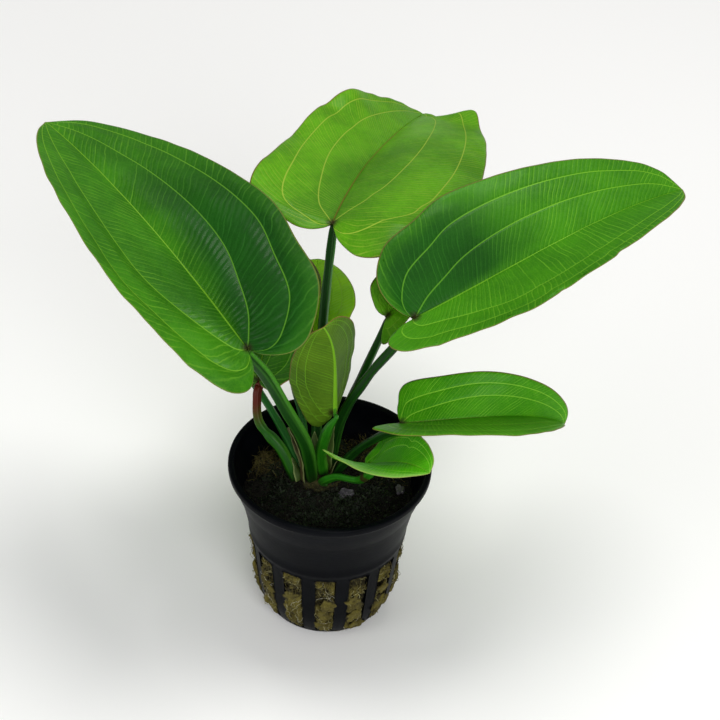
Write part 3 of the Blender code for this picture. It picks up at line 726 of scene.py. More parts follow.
    # a wider swell in each field between two arched veins
    swell = 0.35 * quilt * 4 * smooth(np.minimum(near_v, near_m), 0.3, 4.5) * smooth(edge_d, 0, 5) * free
    groove_m = np.exp(-(near_m / (wm * 1.15)) ** 2)
    groove_v = np.exp(-(near_v / (wv * 1.3)) ** 2)
    up = thick / 2 * smooth(edge_d, -0.1, 0.8) + q + swell - 0.26 * groove_m * (1 - 0.5 * A) - 0.15 * groove_v
    ridge_m = (0.85 * (1 - A) ** 0.8 + 0.12) * (0.55 + 0.45 * L / 90)
    lo = thick / 2 * smooth(edge_d, -0.1, 0.8) - 0.8 * q - swell
    lo = lo + ridge_m * np.exp(-(near_m / (wm * 1.5)) ** 2) + 0.26 * (1.1 - A) * np.exp(-(near_v / (wv * 1.4)) ** 2)
    lo = lo + 0.05 * (0.5 - off) * body
    lo = np.maximum(lo, 0.06)
    U = P + N * up[..., None]
    D = P - N * lo[..., None]
    # one list of points: joint, tip, upper rows with both margins, lower rows without them
    rowsN = rows - 1
    nU = rowsN * nb
    verts = [P[0, nb // 2], P[-1, nb // 2]]
    Uin = U[1:-1].copy()
    Uin[:, 0], Uin[:, -1] = P[1:-1, 0], P[1:-1, -1]
    allv = np.vstack([verts, Uin.reshape(-1, 3), D[1:-1, 1:-1].reshape(-1, 3)])
    uid = lambda i, j: 2 + (i - 1) * nb + j
    did = lambda i, j: uid(i, j) if j in (0, nb - 1) else 2 + nU + (i - 1) * (nb - 2) + j - 1
    faces, index = [], []
    for j in range(nb - 1):
        faces.append((0, uid(1, j + 1), uid(1, j)))
        faces.append((1, uid(rows - 1, j), uid(rows - 1, j + 1)))
        faces.append((0, did(1, j), did(1, j + 1)))
        faces.append((1, did(rows - 1, j + 1), did(rows - 1, j)))
        index += [0, 0, 1, 1]
    I, J = np.meshgrid(np.arange(1, rows - 1), np.arange(nb - 1), indexing="ij")
    I, J = I.ravel(), J.ravel()
    uidv = lambda i, j: 2 + (i - 1) * nb + j
    didv = lambda i, j: np.where((j == 0) | (j == nb - 1), uidv(i, j), 2 + nU + (i - 1) * (nb - 2) + j - 1)
    fu = np.stack([uidv(I, J), uidv(I, J + 1), uidv(I + 1, J + 1), uidv(I + 1, J)], 1)
    fd = np.stack([didv(I, J), didv(I + 1, J), didv(I + 1, J + 1), didv(I, J + 1)], 1)
    faces += fu.tolist() + fd.tolist()
    index += [0] * len(fu) + [1] * len(fd)

    def both(x):
        x = np.broadcast_to(x, W.shape)
        return np.concatenate([[x[0, nb // 2], x[-1, nb // 2]], x[1:-1].ravel(), x[1:-1, 1:-1].ravel()])

    attrs = dict(lf_u=both(A), lf_b=both(b[None, :]), lf_ct=both(ct), lf_vm=both(np.minimum(vm, 30)), lf_vp=both(np.minimum(vp, 30)),
                 lf_edge=both(edge_d), lf_r=both(dist))
    ob = make("leaf_" + key, allv, faces, [upper, lower], index, attrs)
    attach(ob, "root")
    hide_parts("blade_" + key)
    return ob


# =====================================================================
# Stalks
# =====================================================================
def frames(p):
    """Tangent and two sides at each point of a line, without twist."""
    t = np.gradient(p, axis=0)
    t /= np.linalg.norm(t, axis=1)[:, None]
    x = np.cross(t[0], (0.0, 1.0, 0.05))
    x /= np.linalg.norm(x)
    xs = [x]
    for i in range(1, len(p)):
        x = xs[-1] - t[i] * np.dot(xs[-1], t[i])
        xs.append(x / np.linalg.norm(x))
    xs = np.array(xs)
    return t, xs, np.cross(t, xs)


def stalk_line(key, n):
    """The stalk's middle line, from inside the crown up into the underside of the midrib."""
    leaf = LEAVES[key]
    bends, r0, r1 = STALKS[key]
    st, p, t, side, norm = midrib(leaf)
    end = p[0] - STALK_END * norm[0]
    low = np.array(bends[0], float) - (0, 0, 1.6)
    # it turns into the midrib over a few millimetres
    into = [p[0] - 0.95 * norm[0] + 0.2 * t[0], np.array([np.interp(2.2, st, p[:, k]) for k in range(3)]) - 0.62 * norm[1]]
    route = [tuple(low)] + [tuple(b) for b in bends] + [tuple(end)] + [tuple(x) for x in into]
    line, length = even(spline(route), np.linspace(0, 1, n + 1))
    return line, length, r0, r1


def build_stalk(key, mat, flare=0.35, foot=8.0, ribs=5, twist=40.0, sides=30, n=84, seed=0, swell=(), flat=0.0, neck=4.0, pinch=0.62):
    """A ribbed stalk that widens at its foot.

    swell  places where it bulges or narrows: (millimetres from the foot, change, reach)
    """
    line, length, r0, r1 = stalk_line(key, n)
    t, X, Y = frames(line)
    s = np.linspace(0, length, n + 1)
    u = s / length
    r = r0 + (r1 - r0) * u
    r = r * (1 + flare * np.exp(-(s / foot) ** 2) - 0.25 * np.exp(-(s / 2.5) ** 2))
    for at, change, reach in swell:
        r = r * (1 + change * np.exp(-((s - at) / reach) ** 2))
    # the neck: thinner where it enters the blade
    r = r * (1 - pinch * smooth(s, length - neck, length))
    th = np.linspace(0, TAU, sides, endpoint=False)
    T = th[None, :] + math.radians(twist) * u[:, None]
    rib = 0.5 + 0.5 * np.cos(ribs * T)
    R = r[:, None] * (0.94 + 0.10 * rib ** 1.5)
    R = R * (1 + 0.05 * waves(np.stack([line[:, 0], line[:, 1], line[:, 2]], -1), seed + 5, 13)[:, None])
    ex, ey = np.cos(th), np.sin(th)
    ring = line[:, None] + (R * ex)[..., None] * X[:, None] * (1 + flat) + (R * ey)[..., None] * Y[:, None] * (1 - flat)
    verts = np.vstack([ring.reshape(-1, 3), [line[0]], [line[-1]]])
    faces = []
    for i in range(n):
        for j in range(sides):
            k = (j + 1) % sides
            faces.append((i * sides + j, i * sides + k, (i + 1) * sides + k, (i + 1) * sides + j))
    c0, c1 = len(verts) - 2, len(verts) - 1
    for j in range(sides):
        k = (j + 1) % sides
        faces.append((c0, k, j))
        faces.append((c1, n * sides + j, n * sides + k))
    tile = lambda x: np.concatenate([np.broadcast_to(x, rib.shape).ravel(), [x.ravel()[0], x.ravel()[-1]]])
    outward = ring - line[:, None]
    outward /= np.maximum(np.linalg.norm(outward, axis=-1), 1e-9)[..., None]
    # painted highlight: points on the side facing +X and a little up, where the light falls, are marked for the pale
    # colour
    wing = smooth(outward @ np.array([0.95, -0.15, 0.27]), 0.72, 0.97)
    attrs = dict(st_wing=tile(wing), st_t=tile(u[:, None]), st_a=tile(0 * u[:, None] + (0.5 + 0.5 * np.cos(T))), st_rib=tile(rib))
    ob = make("petiole_" + key, verts, faces, [mat], attrs=attrs)
    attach(ob, "root")
    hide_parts("stalk_" + key)
    return ob


def build_sheath(name, key, mat, start, tall, spread, facing, gap=0.35, seed=0, open_tip=0.0, curl=0.0):
    """A thin dry sheath that wraps part of a stalk and ends in a point.

    start, tall     millimetres along the stalk
    spread, facing  degrees that it wraps at its foot, and where its middle faces (0 is +X, -90 the front)
    """
    line, length, r0, r1 = stalk_line(key, 160)
    s_all = np.linspace(0, length, 161)
    n, m = 34, 22
    v = np.linspace(0, 1, n + 1)
    s = start + tall * v
    c = np.stack([np.interp(s, s_all, line[:, k]) for k in range(3)], -1)
    t = np.gradient(c, axis=0)
    t /= np.linalg.norm(t, axis=1)[:, None]
    face = np.array([math.cos(math.radians(facing)), math.sin(math.radians(facing)), 0.0])
    X = face - t * (t @ face)[:, None]
    X /= np.linalg.norm(X, axis=1)[:, None]
    Y = np.cross(t, X)
    base_r = (r0 + (r1 - r0) * s / length) * (1 + 0.35 * np.exp(-(s / 8.0) ** 2)) + gap + open_tip * v ** 2
    half_w = math.radians(spread / 2) * (1 - v ** 2.2) ** 0.8 + 0.02
    w = np.linspace(-1, 1, m + 1)
    ang = half_w[:, None] * w[None, :]
    rad = base_r[:, None] * (1 + curl * np.abs(w)[None, :] ** 2)
    p = c[:, None] + (rad * np.cos(ang))[..., None] * X[:, None] + (rad * np.sin(ang))[..., None] * Y[:, None]
    p = p + 0.12 * waves(p, seed, 4.0)[..., None] * X[:, None] + 0.0
    idx = np.arange((n + 1) * (m + 1)).reshape(n + 1, m + 1)
    faces = []
    for i in range(n):
        for j in range(m):
            faces.append((idx[i, j], idx[i, j + 1], idx[i + 1, j + 1], idx[i + 1, j]))
    faces = [tuple(int(x) for x in f) for f in faces]
    W = np.broadcast_to(w[None, :], (n + 1, m + 1))
    V = np.broadcast_to(v[:, None], (n + 1, m + 1))
    edge = np.maximum(np.abs(W), smooth(V, 0.86, 1.0))
    ob = make(name, p.reshape(-1, 3), faces, [mat], attrs=dict(sh_w=W.ravel(), sh_t=V.ravel(), sh_e=edge.ravel()))
    so = ob.modifiers.new("thickness", "SOLIDIFY")
    so.thickness = 0.00012
    so.offset = 0
    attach(ob, "root")
    return ob


# =====================================================================
# Growing medium
# =====================================================================
def ground(x, y):
    """Height of the wool's top: a mound round the crown, ragged and lower at the wall."""
    r = np.hypot(x, y)
    p = np.stack([x, y, 0 * x], -1)
    z = 39.9 - 1.3 * smooth(r, 12, 22)
    z = z + 2.4 * np.exp(-(((x + 3.2) ** 2 + (y - 1.0) ** 2) / 95.0))
    z = z + 0.75 * waves(p, 21, 9.0) + 0.45 * waves(p, 22, 3.6)
    z = z + 1.6 * np.exp(-(((x + 17.5) ** 2 + (y - 9) ** 2) / 16.0))        # a tuft at the back left
    z = z + 2.0 * np.exp(-(((x - 12) ** 2 + (y - 13) ** 2) / 38.0))         # and at the back right
    return z


def side_radius(th, z):
    """Radius of the wool's side: it fills the wall, swells out through the slots and is folded into deep creases."""
    ro = np.interp(z, [q[1] for q in reversed(POT_OUTER)], [q[0] for q in reversed(POT_OUTER)])
    inner = ro - WALL - 0.25
    pitch = TAU / SLOTS
    d = np.abs(np.mod(th + math.pi / 2 + pitch / 2, pitch) - pitch / 2)
    p = np.stack([ro * np.cos(th), ro * np.sin(th), z], -1)
    hw = SLOT_W / 2 / 20.6 * 1.05 + 0.004 * waves(p, 35, 3.0)
    win = smooth(hw - d, -0.004, 0.035) * smooth(z, SLOT_Z0, SLOT_Z0 + 1.2) * (1 - smooth(z, SLOT_Z1 - 1.4, SLOT_Z1))
    lump = waves(p, 31, 6.5)
    crease = np.exp(-(waves(p * np.array([1, 1, 0.7]), 32, 4.2) / 0.16) ** 2)
    fold = np.exp(-(waves(p * np.array([0.8, 0.8, 1.3]), 36, 6.0) / 0.12) ** 2)
    height = 0.85 + 0.75 * lump + 0.30 * waves(p, 37, 2.0) - 1.1 * crease - 0.9 * fold + 0.5 * smooth(-z, -16, -5)
    return inner + win * np.clip(height, -0.8, 2.3), win


def build_wool(mats):
    nth = 504
    th = np.linspace(0, TAU, nth, endpoint=False)
    zs = np.concatenate([np.linspace(1.5, 27, 90), np.linspace(28, 38.2, 12)])
    rows = []
    for r in (6.0, 12.0):
        rows.append(np.stack([r * np.cos(th), r * np.sin(th), 0 * th + 1.5], -1))
    for z in zs:
        R, win = side_radius(th, 0 * th + z)
        R = R + 0.12 * waves(np.stack([20 * np.cos(th), 20 * np.sin(th), 0 * th + z], -1), 33, 1.7)
        rows.append(np.stack([R * np.cos(th), R * np.sin(th), 0 * th + z], -1))
    rt = rows[-1]
    edge = np.hypot(rt[:, 0], rt[:, 1])
    for f in np.linspace(0.985, 0.03, 48):
        x, y = edge * f * np.cos(th), edge * f * np.sin(th)
        g = ground(x, y) + 0.18 * waves(np.stack([x, y, 0 * x], -1), 34, 1.6)
        rows.append(np.stack([x, y, g * smooth(1 - f, -0.02, 0.03) + 38.2 * (1 - smooth(1 - f, -0.02, 0.03))], -1))
    V = np.vstack(rows)
    faces = []
    nr = len(rows)
    for i in range(nr - 1):
        for j in range(nth):
            k = (j + 1) % nth
            faces.append((i * nth + j, i * nth + k, (i + 1) * nth + k, (i + 1) * nth + j))
    c0, c1 = len(V), len(V) + 1
    V = np.vstack([V, [(0, 0, 1.5)], [(0, 0, float(ground(np.array([0.0]), np.array([0.0]))[0]))]])
    for j in range(nth):
        k = (j + 1) % nth
        faces.append((c0, k, j))
        faces.append((c1, (nr - 1) * nth + j, (nr - 1) * nth + k))
    first_top = 2 + len(zs)
    index = [1 if i >= first_top - 1 else 0 for i in range(nr - 1) for _ in range(nth)] + [v for _ in range(nth) for v in (0, 1)]
    # how far each point stands out of the wall, for a painted shade on the wool that lies back in the slots and creases
    rad = np.hypot(V[:, 0], V[:, 1])
    ro = np.interp(V[:, 2], [q[1] for q in reversed(POT_OUTER)], [q[0] for q in reversed(POT_OUTER)])
    proud = smooth(rad - ro, -1.6, 0.9)
    ob = make("wool_body", V, faces, mats, index, dict(wl_out=proud))
    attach(ob, "root")
    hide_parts("rockwool_plug")
    return ob


def build_tufts(mat):
    """Soft tufts of wool that have worked out of the slots and lie partly over the bars."""
    rng = np.random.default_rng(91)
    nu, nv = 15, 26
    lat = np.linspace(-math.pi / 2, math.pi / 2, nu)[1:-1]
    lon = np.linspace(0, TAU, nv, endpoint=False)
    V, F, out = [], [], []
    for i in range(SLOTS):
        for z0 in (SLOT_Z0 + 2.2, SLOT_Z0 + 7.5, SLOT_Z0 + 12.8):
            th0 = -math.pi / 2 + i * TAU / SLOTS + rng.uniform(-1, 1) * 1.3 / 20.6
            z = z0 + rng.uniform(-1.6, 1.6)
            wide, tall, deep = rng.uniform(1.7, 2.7), rng.uniform(1.9, 3.6), rng.uniform(0.6, 1.15)
            ro = float(np.interp(z, [q[1] for q in reversed(POT_OUTER)], [q[0] for q in reversed(POT_OUTER)]))
            tilt = rng.uniform(-0.6, 0.6)
            cl, sl = np.cos(lat)[:, None], np.sin(lat)[:, None]
            x = np.concatenate([[0.0], (cl * np.cos(lon)).ravel(), [0.0]])
            y = np.concatenate([[0.0], (cl * np.sin(lon)).ravel(), [0.0]])
            w = np.concatenate([[-1.0], (sl + 0 * lon).ravel(), [1.0]])
            a, c = x * wide, w * tall
            a, c = a * math.cos(tilt) - c * math.sin(tilt), a * math.sin(tilt) + c * math.cos(tilt)
            ball = np.stack([a, y * deep, c], -1)
            rag = 1 + 0.30 * waves(ball + 9.0 * i + z0, 92, 2.6) + 0.14 * waves(ball + 5.0 * i, 93, 1.1)
            ball = ball * rag[:, None]
            th = th0 + ball[:, 0] / ro
            zz = np.clip(z + ball[:, 2], 0.35, 27.0)
            rr = np.interp(zz, [q[1] for q in reversed(POT_OUTER)], [q[0] for q in reversed(POT_OUTER)]) - 0.25 + ball[:, 1]
            base = sum(len(v) for v in V)
            V.append(np.stack([rr * np.cos(th), rr * np.sin(th), zz], -1))
            # the inner side of each tuft is marked for the wool's painted shade
            out.append(smooth(ball[:, 1], -0.1, 0.9) * 0.9)
            last = base + 1 + len(lat) * nv
            for j in range(nv):
                k = (j + 1) % nv
                F.append((base, base + 1 + k, base + 1 + j))
                F.append((last, last - nv + j, last - nv + k))
                for q in range(len(lat) - 1):
                    r0 = base + 1 + q * nv
                    F.append((r0 + j, r0 + k, r0 + nv + k, r0 + nv + j))
    ob = make("wool_tufts", np.vstack(V), F, [mat], attrs=dict(wl_out=np.concatenate(out)))
    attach(ob, "root")
    return ob


def strands(name, roots, heads, length, thin, mat, seed, segs=6, curl=0.5, drop=0.0, floor=None, wall=None, taper=0.5):
    """Many loose fibres as fine three-sided tubes, each its own random curve."""
    rng = np.random.default_rng(seed)
    n = len(roots)
    p = np.array(roots, float)
    d = np.array(heads, float)
    d /= np.linalg.norm(d, axis=1)[:, None]
    L = length * rng.uniform(0.55, 1.45, n)
    step = (L / segs)[:, None]
    bend = rng.normal(size=(n, 3)) * curl
    pts = [p.copy()]
    for i in range(segs):
        d = d + bend / segs * 1.6 + rng.normal(size=(n, 3)) * curl * 0.22 + np.array([0, 0, -drop]) / segs
        d /= np.linalg.norm(d, axis=1)[:, None]
        p = p + d * step
        if floor is not None:
            g = floor(p[:, 0], p[:, 1]) + 0.1
            p[:, 2] = np.maximum(p[:, 2], g)
        if wall is not None:
            p = wall(p)
        pts.append(p.copy())
    C = np.stack(pts, 1)
    T = np.gradient(C, axis=1)
    T /= np.maximum(np.linalg.norm(T, axis=-1), 1e-9)[..., None]
    ref = rng.normal(size=(n, 1, 3))
    X = np.cross(T, ref)
    X /= np.maximum(np.linalg.norm(X, axis=-1), 1e-9)[..., None]
    Y = np.cross(T, X)
    r = thin * rng.uniform(0.6, 1.4, n)[:, None] * (1 - taper * np.linspace(0, 1, segs + 1)[None, :])
    V = []
    for q in range(3):
        a = TAU * q / 3
        V.append(C + (r * math.cos(a))[..., None] * X + (r * math.sin(a))[..., None] * Y)
    V = np.stack(V, 2)                      # strand, point, corner
    k = segs + 1
    idx = np.arange(n * k * 3).reshape(n, k, 3)
    F = []
    for q in range(3):
        w = (q + 1) % 3
        F.append(np.stack([idx[:, :-1, q], idx[:, :-1, w], idx[:, 1:, w], idx[:, 1:, q]], -1).reshape(-1, 4))
    faces = np.vstack(F).tolist()
    caps = [idx[:, 0, ::-1].tolist(), idx[:, -1, :].tolist()]
    faces += [tuple(f) for c in caps for f in c]
    shade = np.repeat(rng.uniform(0, 1, n), k * 3)
    tt = np.broadcast_to(np.linspace(0, 1, k)[None, :, None], (n, k, 3)).ravel()
    ob = make(name, V.reshape(-1, 3), faces, [mat], attrs=dict(fb_s=shade, fb_t=tt))
    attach(ob, "root")
    return ob


def leaflets(name, roots, size, mat, seed):
    """Moss: small pointed leaflets in tufts, each a bent diamond."""
    rng = np.random.default_rng(seed)
    n = len(roots)
    p = np.array(roots, float)
    az = rng.uniform(0, TAU, n)
    up = rng.uniform(0.15, 1.1, n)
    d = np.stack([np.cos(az) * np.cos(up), np.sin(az) * np.cos(up), np.sin(up)], -1)
    L = size * rng.uniform(0.6, 1.5, n)[:, None]
    side = np.cross(d, rng.normal(size=(n, 3)))
    side /= np.linalg.norm(side, axis=1)[:, None]
    nrm = np.cross(d, side)
    w = L * 0.24
    a = p
    b1 = p + d * L * 0.45 + side * w
    b2 = p + d * L * 0.45 - side * w
    m = p + d * L * 0.5 + nrm * w * 0.55
    c = p + d * L + nrm * L * 0.18
    V = np.stack([a, b1, m, b2, c], 1)
    idx = np.arange(n * 5).reshape(n, 5)
    faces = np.vstack([idx[:, [0, 1, 2]], idx[:, [0, 2, 3]], idx[:, [1, 4, 2]], idx[:, [2, 4, 3]]]).tolist()
    shade = np.repeat(rng.uniform(0, 1, n), 5)
    tt = np.tile([0, 0.5, 0.5, 0.5, 1.0], n)
    ob = make(name, V.reshape(-1, 3), faces, [mat], attrs=dict(fb_s=shade, fb_t=tt))
    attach(ob, "root")
    return ob


def inside_wall(p):
    """Keeps points of the top fibres inside the pot."""
    r = np.hypot(p[:, 0], p[:, 1])
    lim = np.interp(p[:, 2], [30, 40, 47.8, 50], [20.8, 22.9, 25.2, 25.3])
    f = np.minimum(1.0, lim / np.maximum(r, 1e-6))
    q = p.copy()
    q[:, 0] *= f
    q[:, 1] *= f
    return q


def build_fibres(pale, khaki, dark, moss, hair):
    rng = np.random.default_rng(77)
    # tangles that swell out through the slots
    n = 2500
    slot_i = rng.integers(0, SLOTS, n)
    th = -math.pi / 2 + slot_i * TAU / SLOTS + rng.uniform(-1, 1, n) * SLOT_W / 2 / 20.6 * 0.92
    z = rng.uniform(SLOT_Z0 + 0.6, SLOT_Z1 - 0.8, n)
    R, win = side_radius(th, z)
    roots = np.stack([(R - 0.25) * np.cos(th), (R - 0.25) * np.sin(th), z], -1)
    tang = np.stack([-np.sin(th), np.cos(th), 0 * th], -1)
    outw = np.stack([np.cos(th), np.sin(th), 0 * th], -1)
    heads = tang * rng.normal(size=(n, 1)) + outw * rng.uniform(0.1, 0.55, (n, 1)) + np.array([0, 0, 1.0]) * rng.normal(size=(n, 1)) * 0.9

    def hug(p):
        a = np.arctan2(p[:, 1], p[:, 0])
        rr, w = side_radius(a, np.clip(p[:, 2], 1.6, 38))
        r = np.hypot(p[:, 0], p[:, 1])
        lim = rr + 0.75
        f = np.where(r > lim, lim / np.maximum(r, 1e-6), 1.0)
        q = p.copy()
        q[:, 0] *= f
        q[:, 1] *= f
        q[:, 2] = np.clip(q[:, 2], 0.4, 26.5)
        return q

    strands("wool_fibres_side", roots[:1500], heads[:1500], 4.2, 0.075, khaki, 5, curl=0.9, wall=hug)
    strands("wool_fibres_side_pale", roots[1500:], heads[1500:], 3.4, 0.06, pale, 6, curl=1.0, wall=hug)
    # the top: dark litter over most of it, paler where it is dry at the back
    n = 2600
    r = 23.2 * np.sqrt(rng.uniform(0, 1, n))
    a = rng.uniform(0, TAU, n)
    x, y = r * np.cos(a), r * np.sin(a)
    g = ground(x, y)
    roots = np.stack([x, y, g - 0.1], -1)
    heads = np.stack([np.cos(a * 7), np.sin(a * 7), rng.uniform(0.0, 0.5, n)], -1)
    strands("litter_dark", roots, heads, 3.6, 0.085, dark, 7, curl=0.9, drop=0.9, floor=ground, wall=inside_wall)
    n = 1100
    cx = np.where(rng.uniform(0, 1, n) < 0.6, 12.0, -17.0)
    cy = np.where(cx > 0, 13.5, 9.5)
    sd = np.where(cx > 0, 4.2, 2.6)
    x, y = cx + rng.normal(size=n) * sd, cy + rng.normal(size=n) * sd
    rr = np.hypot(x, y)
    f = np.minimum(1, 22.3 / rr)
    x, y = x * f, y * f
    g = ground(x, y)
    heads = np.stack([rng.normal(size=n), rng.normal(size=n), rng.uniform(0.1, 0.9, n)], -1)
    strands("litter_pale", np.stack([x, y, g - 0.1], -1), heads, 3.0, 0.07, khaki, 8, curl=1.0, drop=0.8, floor=ground, wall=inside_wall)
    # moss in patches
    n = 5200
    cen = np.array([(-8, -9), (-2, -13), (5, -12), (10, -7), (13, -1), (-13, -3), (-15, 4), (9, 8), (2, -6), (-4, -18), (15, 6), (-10, 14), (0, 18)])
    k = rng.integers(0, len(cen), n)
    x = cen[k, 0] + rng.normal(size=n) * 2.4
    y = cen[k, 1] + rng.normal(size=n) * 2.2
    rr = np.hypot(x, y)
    f = np.minimum(1, 22.6 / np.maximum(rr, 1e-6))
    x, y = x * f, y * f
    tuft = 0.9 * np.maximum(0, waves(np.stack([x, y, 0 * x], -1), 41, 3.0))
    g = ground(x, y) + tuft * rng.uniform(0, 1, n)
    leaflets("moss_tufts", np.stack([x, y, g], -1), 0.95, moss, 9)
    # fine root hairs
    n = 60
    th = rng.uniform(-2.9, 0.4, n)
    z = rng.uniform(2.5, 20, n)
    R, win = side_radius(th, z)
    roots = np.stack([R * np.cos(th), R * np.sin(th), z], -1)
    heads = np.stack([np.cos(th) * 0.4 - np.sin(th) * rng.normal(size=n), np.sin(th) * 0.4 + np.cos(th) * rng.normal(size=n), rng.normal(size=n) - 0.4], -1)
    strands("root_hairs", roots, heads, 9.0, 0.06, hair, 12, segs=10, curl=0.8, wall=hug, taper=0.7)


def build_stone(name, at, size, spin, mat, seed):
    """A flake of slate: a split block with ragged edges and stepped faces."""
    bm = bmesh.new()
    bmesh.ops.create_icosphere(bm, subdivisions=4, radius=1.0)
    for v in bm.verts:
        c = v.co
        ang = math.atan2(c.y, c.x)
        rim = 1 + 0.16 * math.sin(3 * ang + seed) + 0.10 * math.sin(5 * ang + 2.1 * seed) + 0.06 * math.sin(9 * ang)
        flat = max(-1, min(1, c.z * 1.9))
        q = noise.noise(Vector((c.x * 2.1, c.y * 2.1, seed))) * 0.25
        v.co = Vector((c.x * rim * size[0], c.y * rim * size[1], (flat * 0.8 + q) * size[2]))
    me = bpy.data.meshes.new(name)
    bmesh.ops.scale(bm, vec=(MM, MM, MM), verts=bm.verts)
    bm.to_mesh(me)
    bm.free()
    me.materials.append(mat)
    me.polygons.foreach_set("use_smooth", np.ones(len(me.polygons), bool))
    e = [math.radians(v) for v in spin]
    rot = Matrix.Rotation(e[2], 4, "Z") @ Matrix.Rotation(e[1], 4, "Y") @ Matrix.Rotation(e[0], 4, "X")
    me.transform(Matrix.Translation(Vector(at) * MM) @ rot)
    ob = bpy.data.objects.new(name + "_flake", me)
    bpy.context.scene.collection.objects.link(ob)
    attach(ob, "root")
    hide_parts(name)
    return ob


def build_crown(mat):
    """The rootstock: a low knuckled mound that the stalks leave."""
    n, m = 96, 40
    th = np.linspace(0, TAU, n, endpoint=False)
    rows = []
    for v in np.linspace(0, 1, m):
        r = CROWN_R * (1 - v ** 2.2) ** 0.5 if v < 1 else 0.0
        z = 39.6 + (CROWN_TOP + 0.9 - 39.6) * v
        p = np.stack([CROWN_X + r * np.cos(th), CROWN_Y + r * np.sin(th), 0 * th + z], -1)
        k = 0.35 * waves(p, 51, 4.0) + 0.2 * waves(p, 52, 1.6)
        out = np.stack([np.cos(th), np.sin(th), 0 * th + 0.3], -1)
        rows.append(p + out * k[:, None] * min(1, 4 * (1 - v) + 0.1))
    V = np.vstack(rows)
    faces = []
    for i in range(m - 1):
        for j in range(n):
            k = (j + 1) % n
            faces.append((i * n + j, i * n + k, (i + 1) * n + k, (i + 1) * n + j))
    c0 = len(V)
    V = np.vstack([V, [(CROWN_X, CROWN_Y, 39.6)]])
    for j in range(n):
        faces.append((c0, (j + 1) % n, j))
    ob = make("crown_mound", V, faces, [mat])
    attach(ob, "root")
    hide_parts("crown")
    return ob


# =====================================================================
# Colours of each leaf, then everything is built
# =====================================================================
CREAM, RUSSET = lin(168, 170, 112), lin(140, 96, 60)
LOOKS = {
    # light, dark, veins, midrib, margin
    "left": (lin(60, 130, 10), lin(42, 104, 6), lin(112, 168, 40), lin(116, 168, 40), lin(118, 128, 56)),
    "back": (lin(92, 162, 8), lin(66, 128, 4), lin(150, 178, 56), lin(114, 110, 34), lin(126, 108, 50)),
    "right": (lin(62, 134, 8), lin(46, 112, 6), lin(114, 176, 40), lin(118, 178, 40), lin(124, 116, 60)),
    "inner_right": (lin(98, 168, 22), lin(70, 134, 14), lin(120, 176, 44), lin(120, 160, 44), lin(110, 100, 46)),
    "low_right": (lin(70, 152, 2), lin(48, 128, 2), lin(136, 200, 54), lin(108, 130, 28), lin(122, 114, 50)),
    "front": (lin(76, 170, 6), lin(52, 140, 4), lin(136, 206, 60), lin(112, 170, 36), lin(146, 160, 84)),
    "young": (lin(72, 122, 8), lin(50, 96, 4), lin(106, 160, 34), lin(120, 178, 36), lin(124, 102, 50)),
    "old": (lin(44, 104, 8), lin(28, 78, 4), lin(96, 148, 40), lin(96, 136, 34), lin(146, 114, 74)),
    "yellowing": (lin(186, 248, 40), lin(152, 226, 26), lin(170, 226, 60), lin(160, 216, 56), lin(168, 160, 84)),
    "low_left": (lin(50, 116, 10), lin(30, 84, 6), lin(90, 140, 34), lin(96, 136, 34), lin(116, 106, 56)),
}
VEINS = {
    "left": ((0.55, 0.82), (0.49, 0.83)), "back": ((0.52, 0.82), (0.42, 0.78)), "right": ((0.47, 0.78), (0.64, 0.85)),
    "inner_right": ((0.5, 0.8), (0.5, 0.8)), "low_right": ((0.52, 0.78), (0.50, 0.80)), "front": ((0.60, 0.80), (0.56, 0.80)),
    "young": ((0.63, 0.82), (0.66, 0.84)), "old": ((0.50, 0.80), (0.37, 0.75)), "yellowing": ((0.50, 0.80), (0.50, 0.74)),
    "low_left": ((0.50, 0.80), (0.50, 0.80)),
}
# rows, columns, spacing of the cross veins, their lean, quilting, unevenness
SHAPE = {
    "left": (230, 66, 1.90, (34, 22), 0.42, 0.14), "back": (200, 58, 1.15, (30, 30), 0.05, 0.22), "right": (210, 58, 1.45, (18, -24), 0.06, 0.16),
    "inner_right": (90, 30, 1.20, (22, 22), 0.05, 0.16), "low_right": (130, 38, 1.05, (34, 10), 0.05, 0.14), "front": (90, 34, 1.05, (24, 24), 0.06, 0.14),
    "young": (120, 38, 1.30, (24, 24), 0.07, 0.16), "old": (130, 42, 1.50, (24, 24), 0.08, 0.18), "yellowing": (110, 38, 1.40, (24, 24), 0.06, 0.18),
    "low_left": (90, 34, 1.40, (24, 24), 0.06, 0.16),
}
NICKS = {"right": ((-1, 0.66, 0.7, 1.6), (-1, 0.50, 0.5, 1.2)), "front": ((1, 0.66, 0.8, 1.0),), "back": ((-1, 0.935, 1.0, 4.0), (1, 0.635, 0.4, 3.0))}
LIFTS = {"back": ((-1, 0.88, 3.6, 4.0), (-1, 0.94, -1.5, 3.2), (1, 0.705, 1.5, 5.5), (1, 0.63, -1.4, 3.6))}


def beneath(c):
    """The paler, yellower colour of a leaf's underside."""
    return (c[0] * 1.25 + 0.012, c[1] * 0.92 + 0.015, c[2] + 0.006, 1.0)


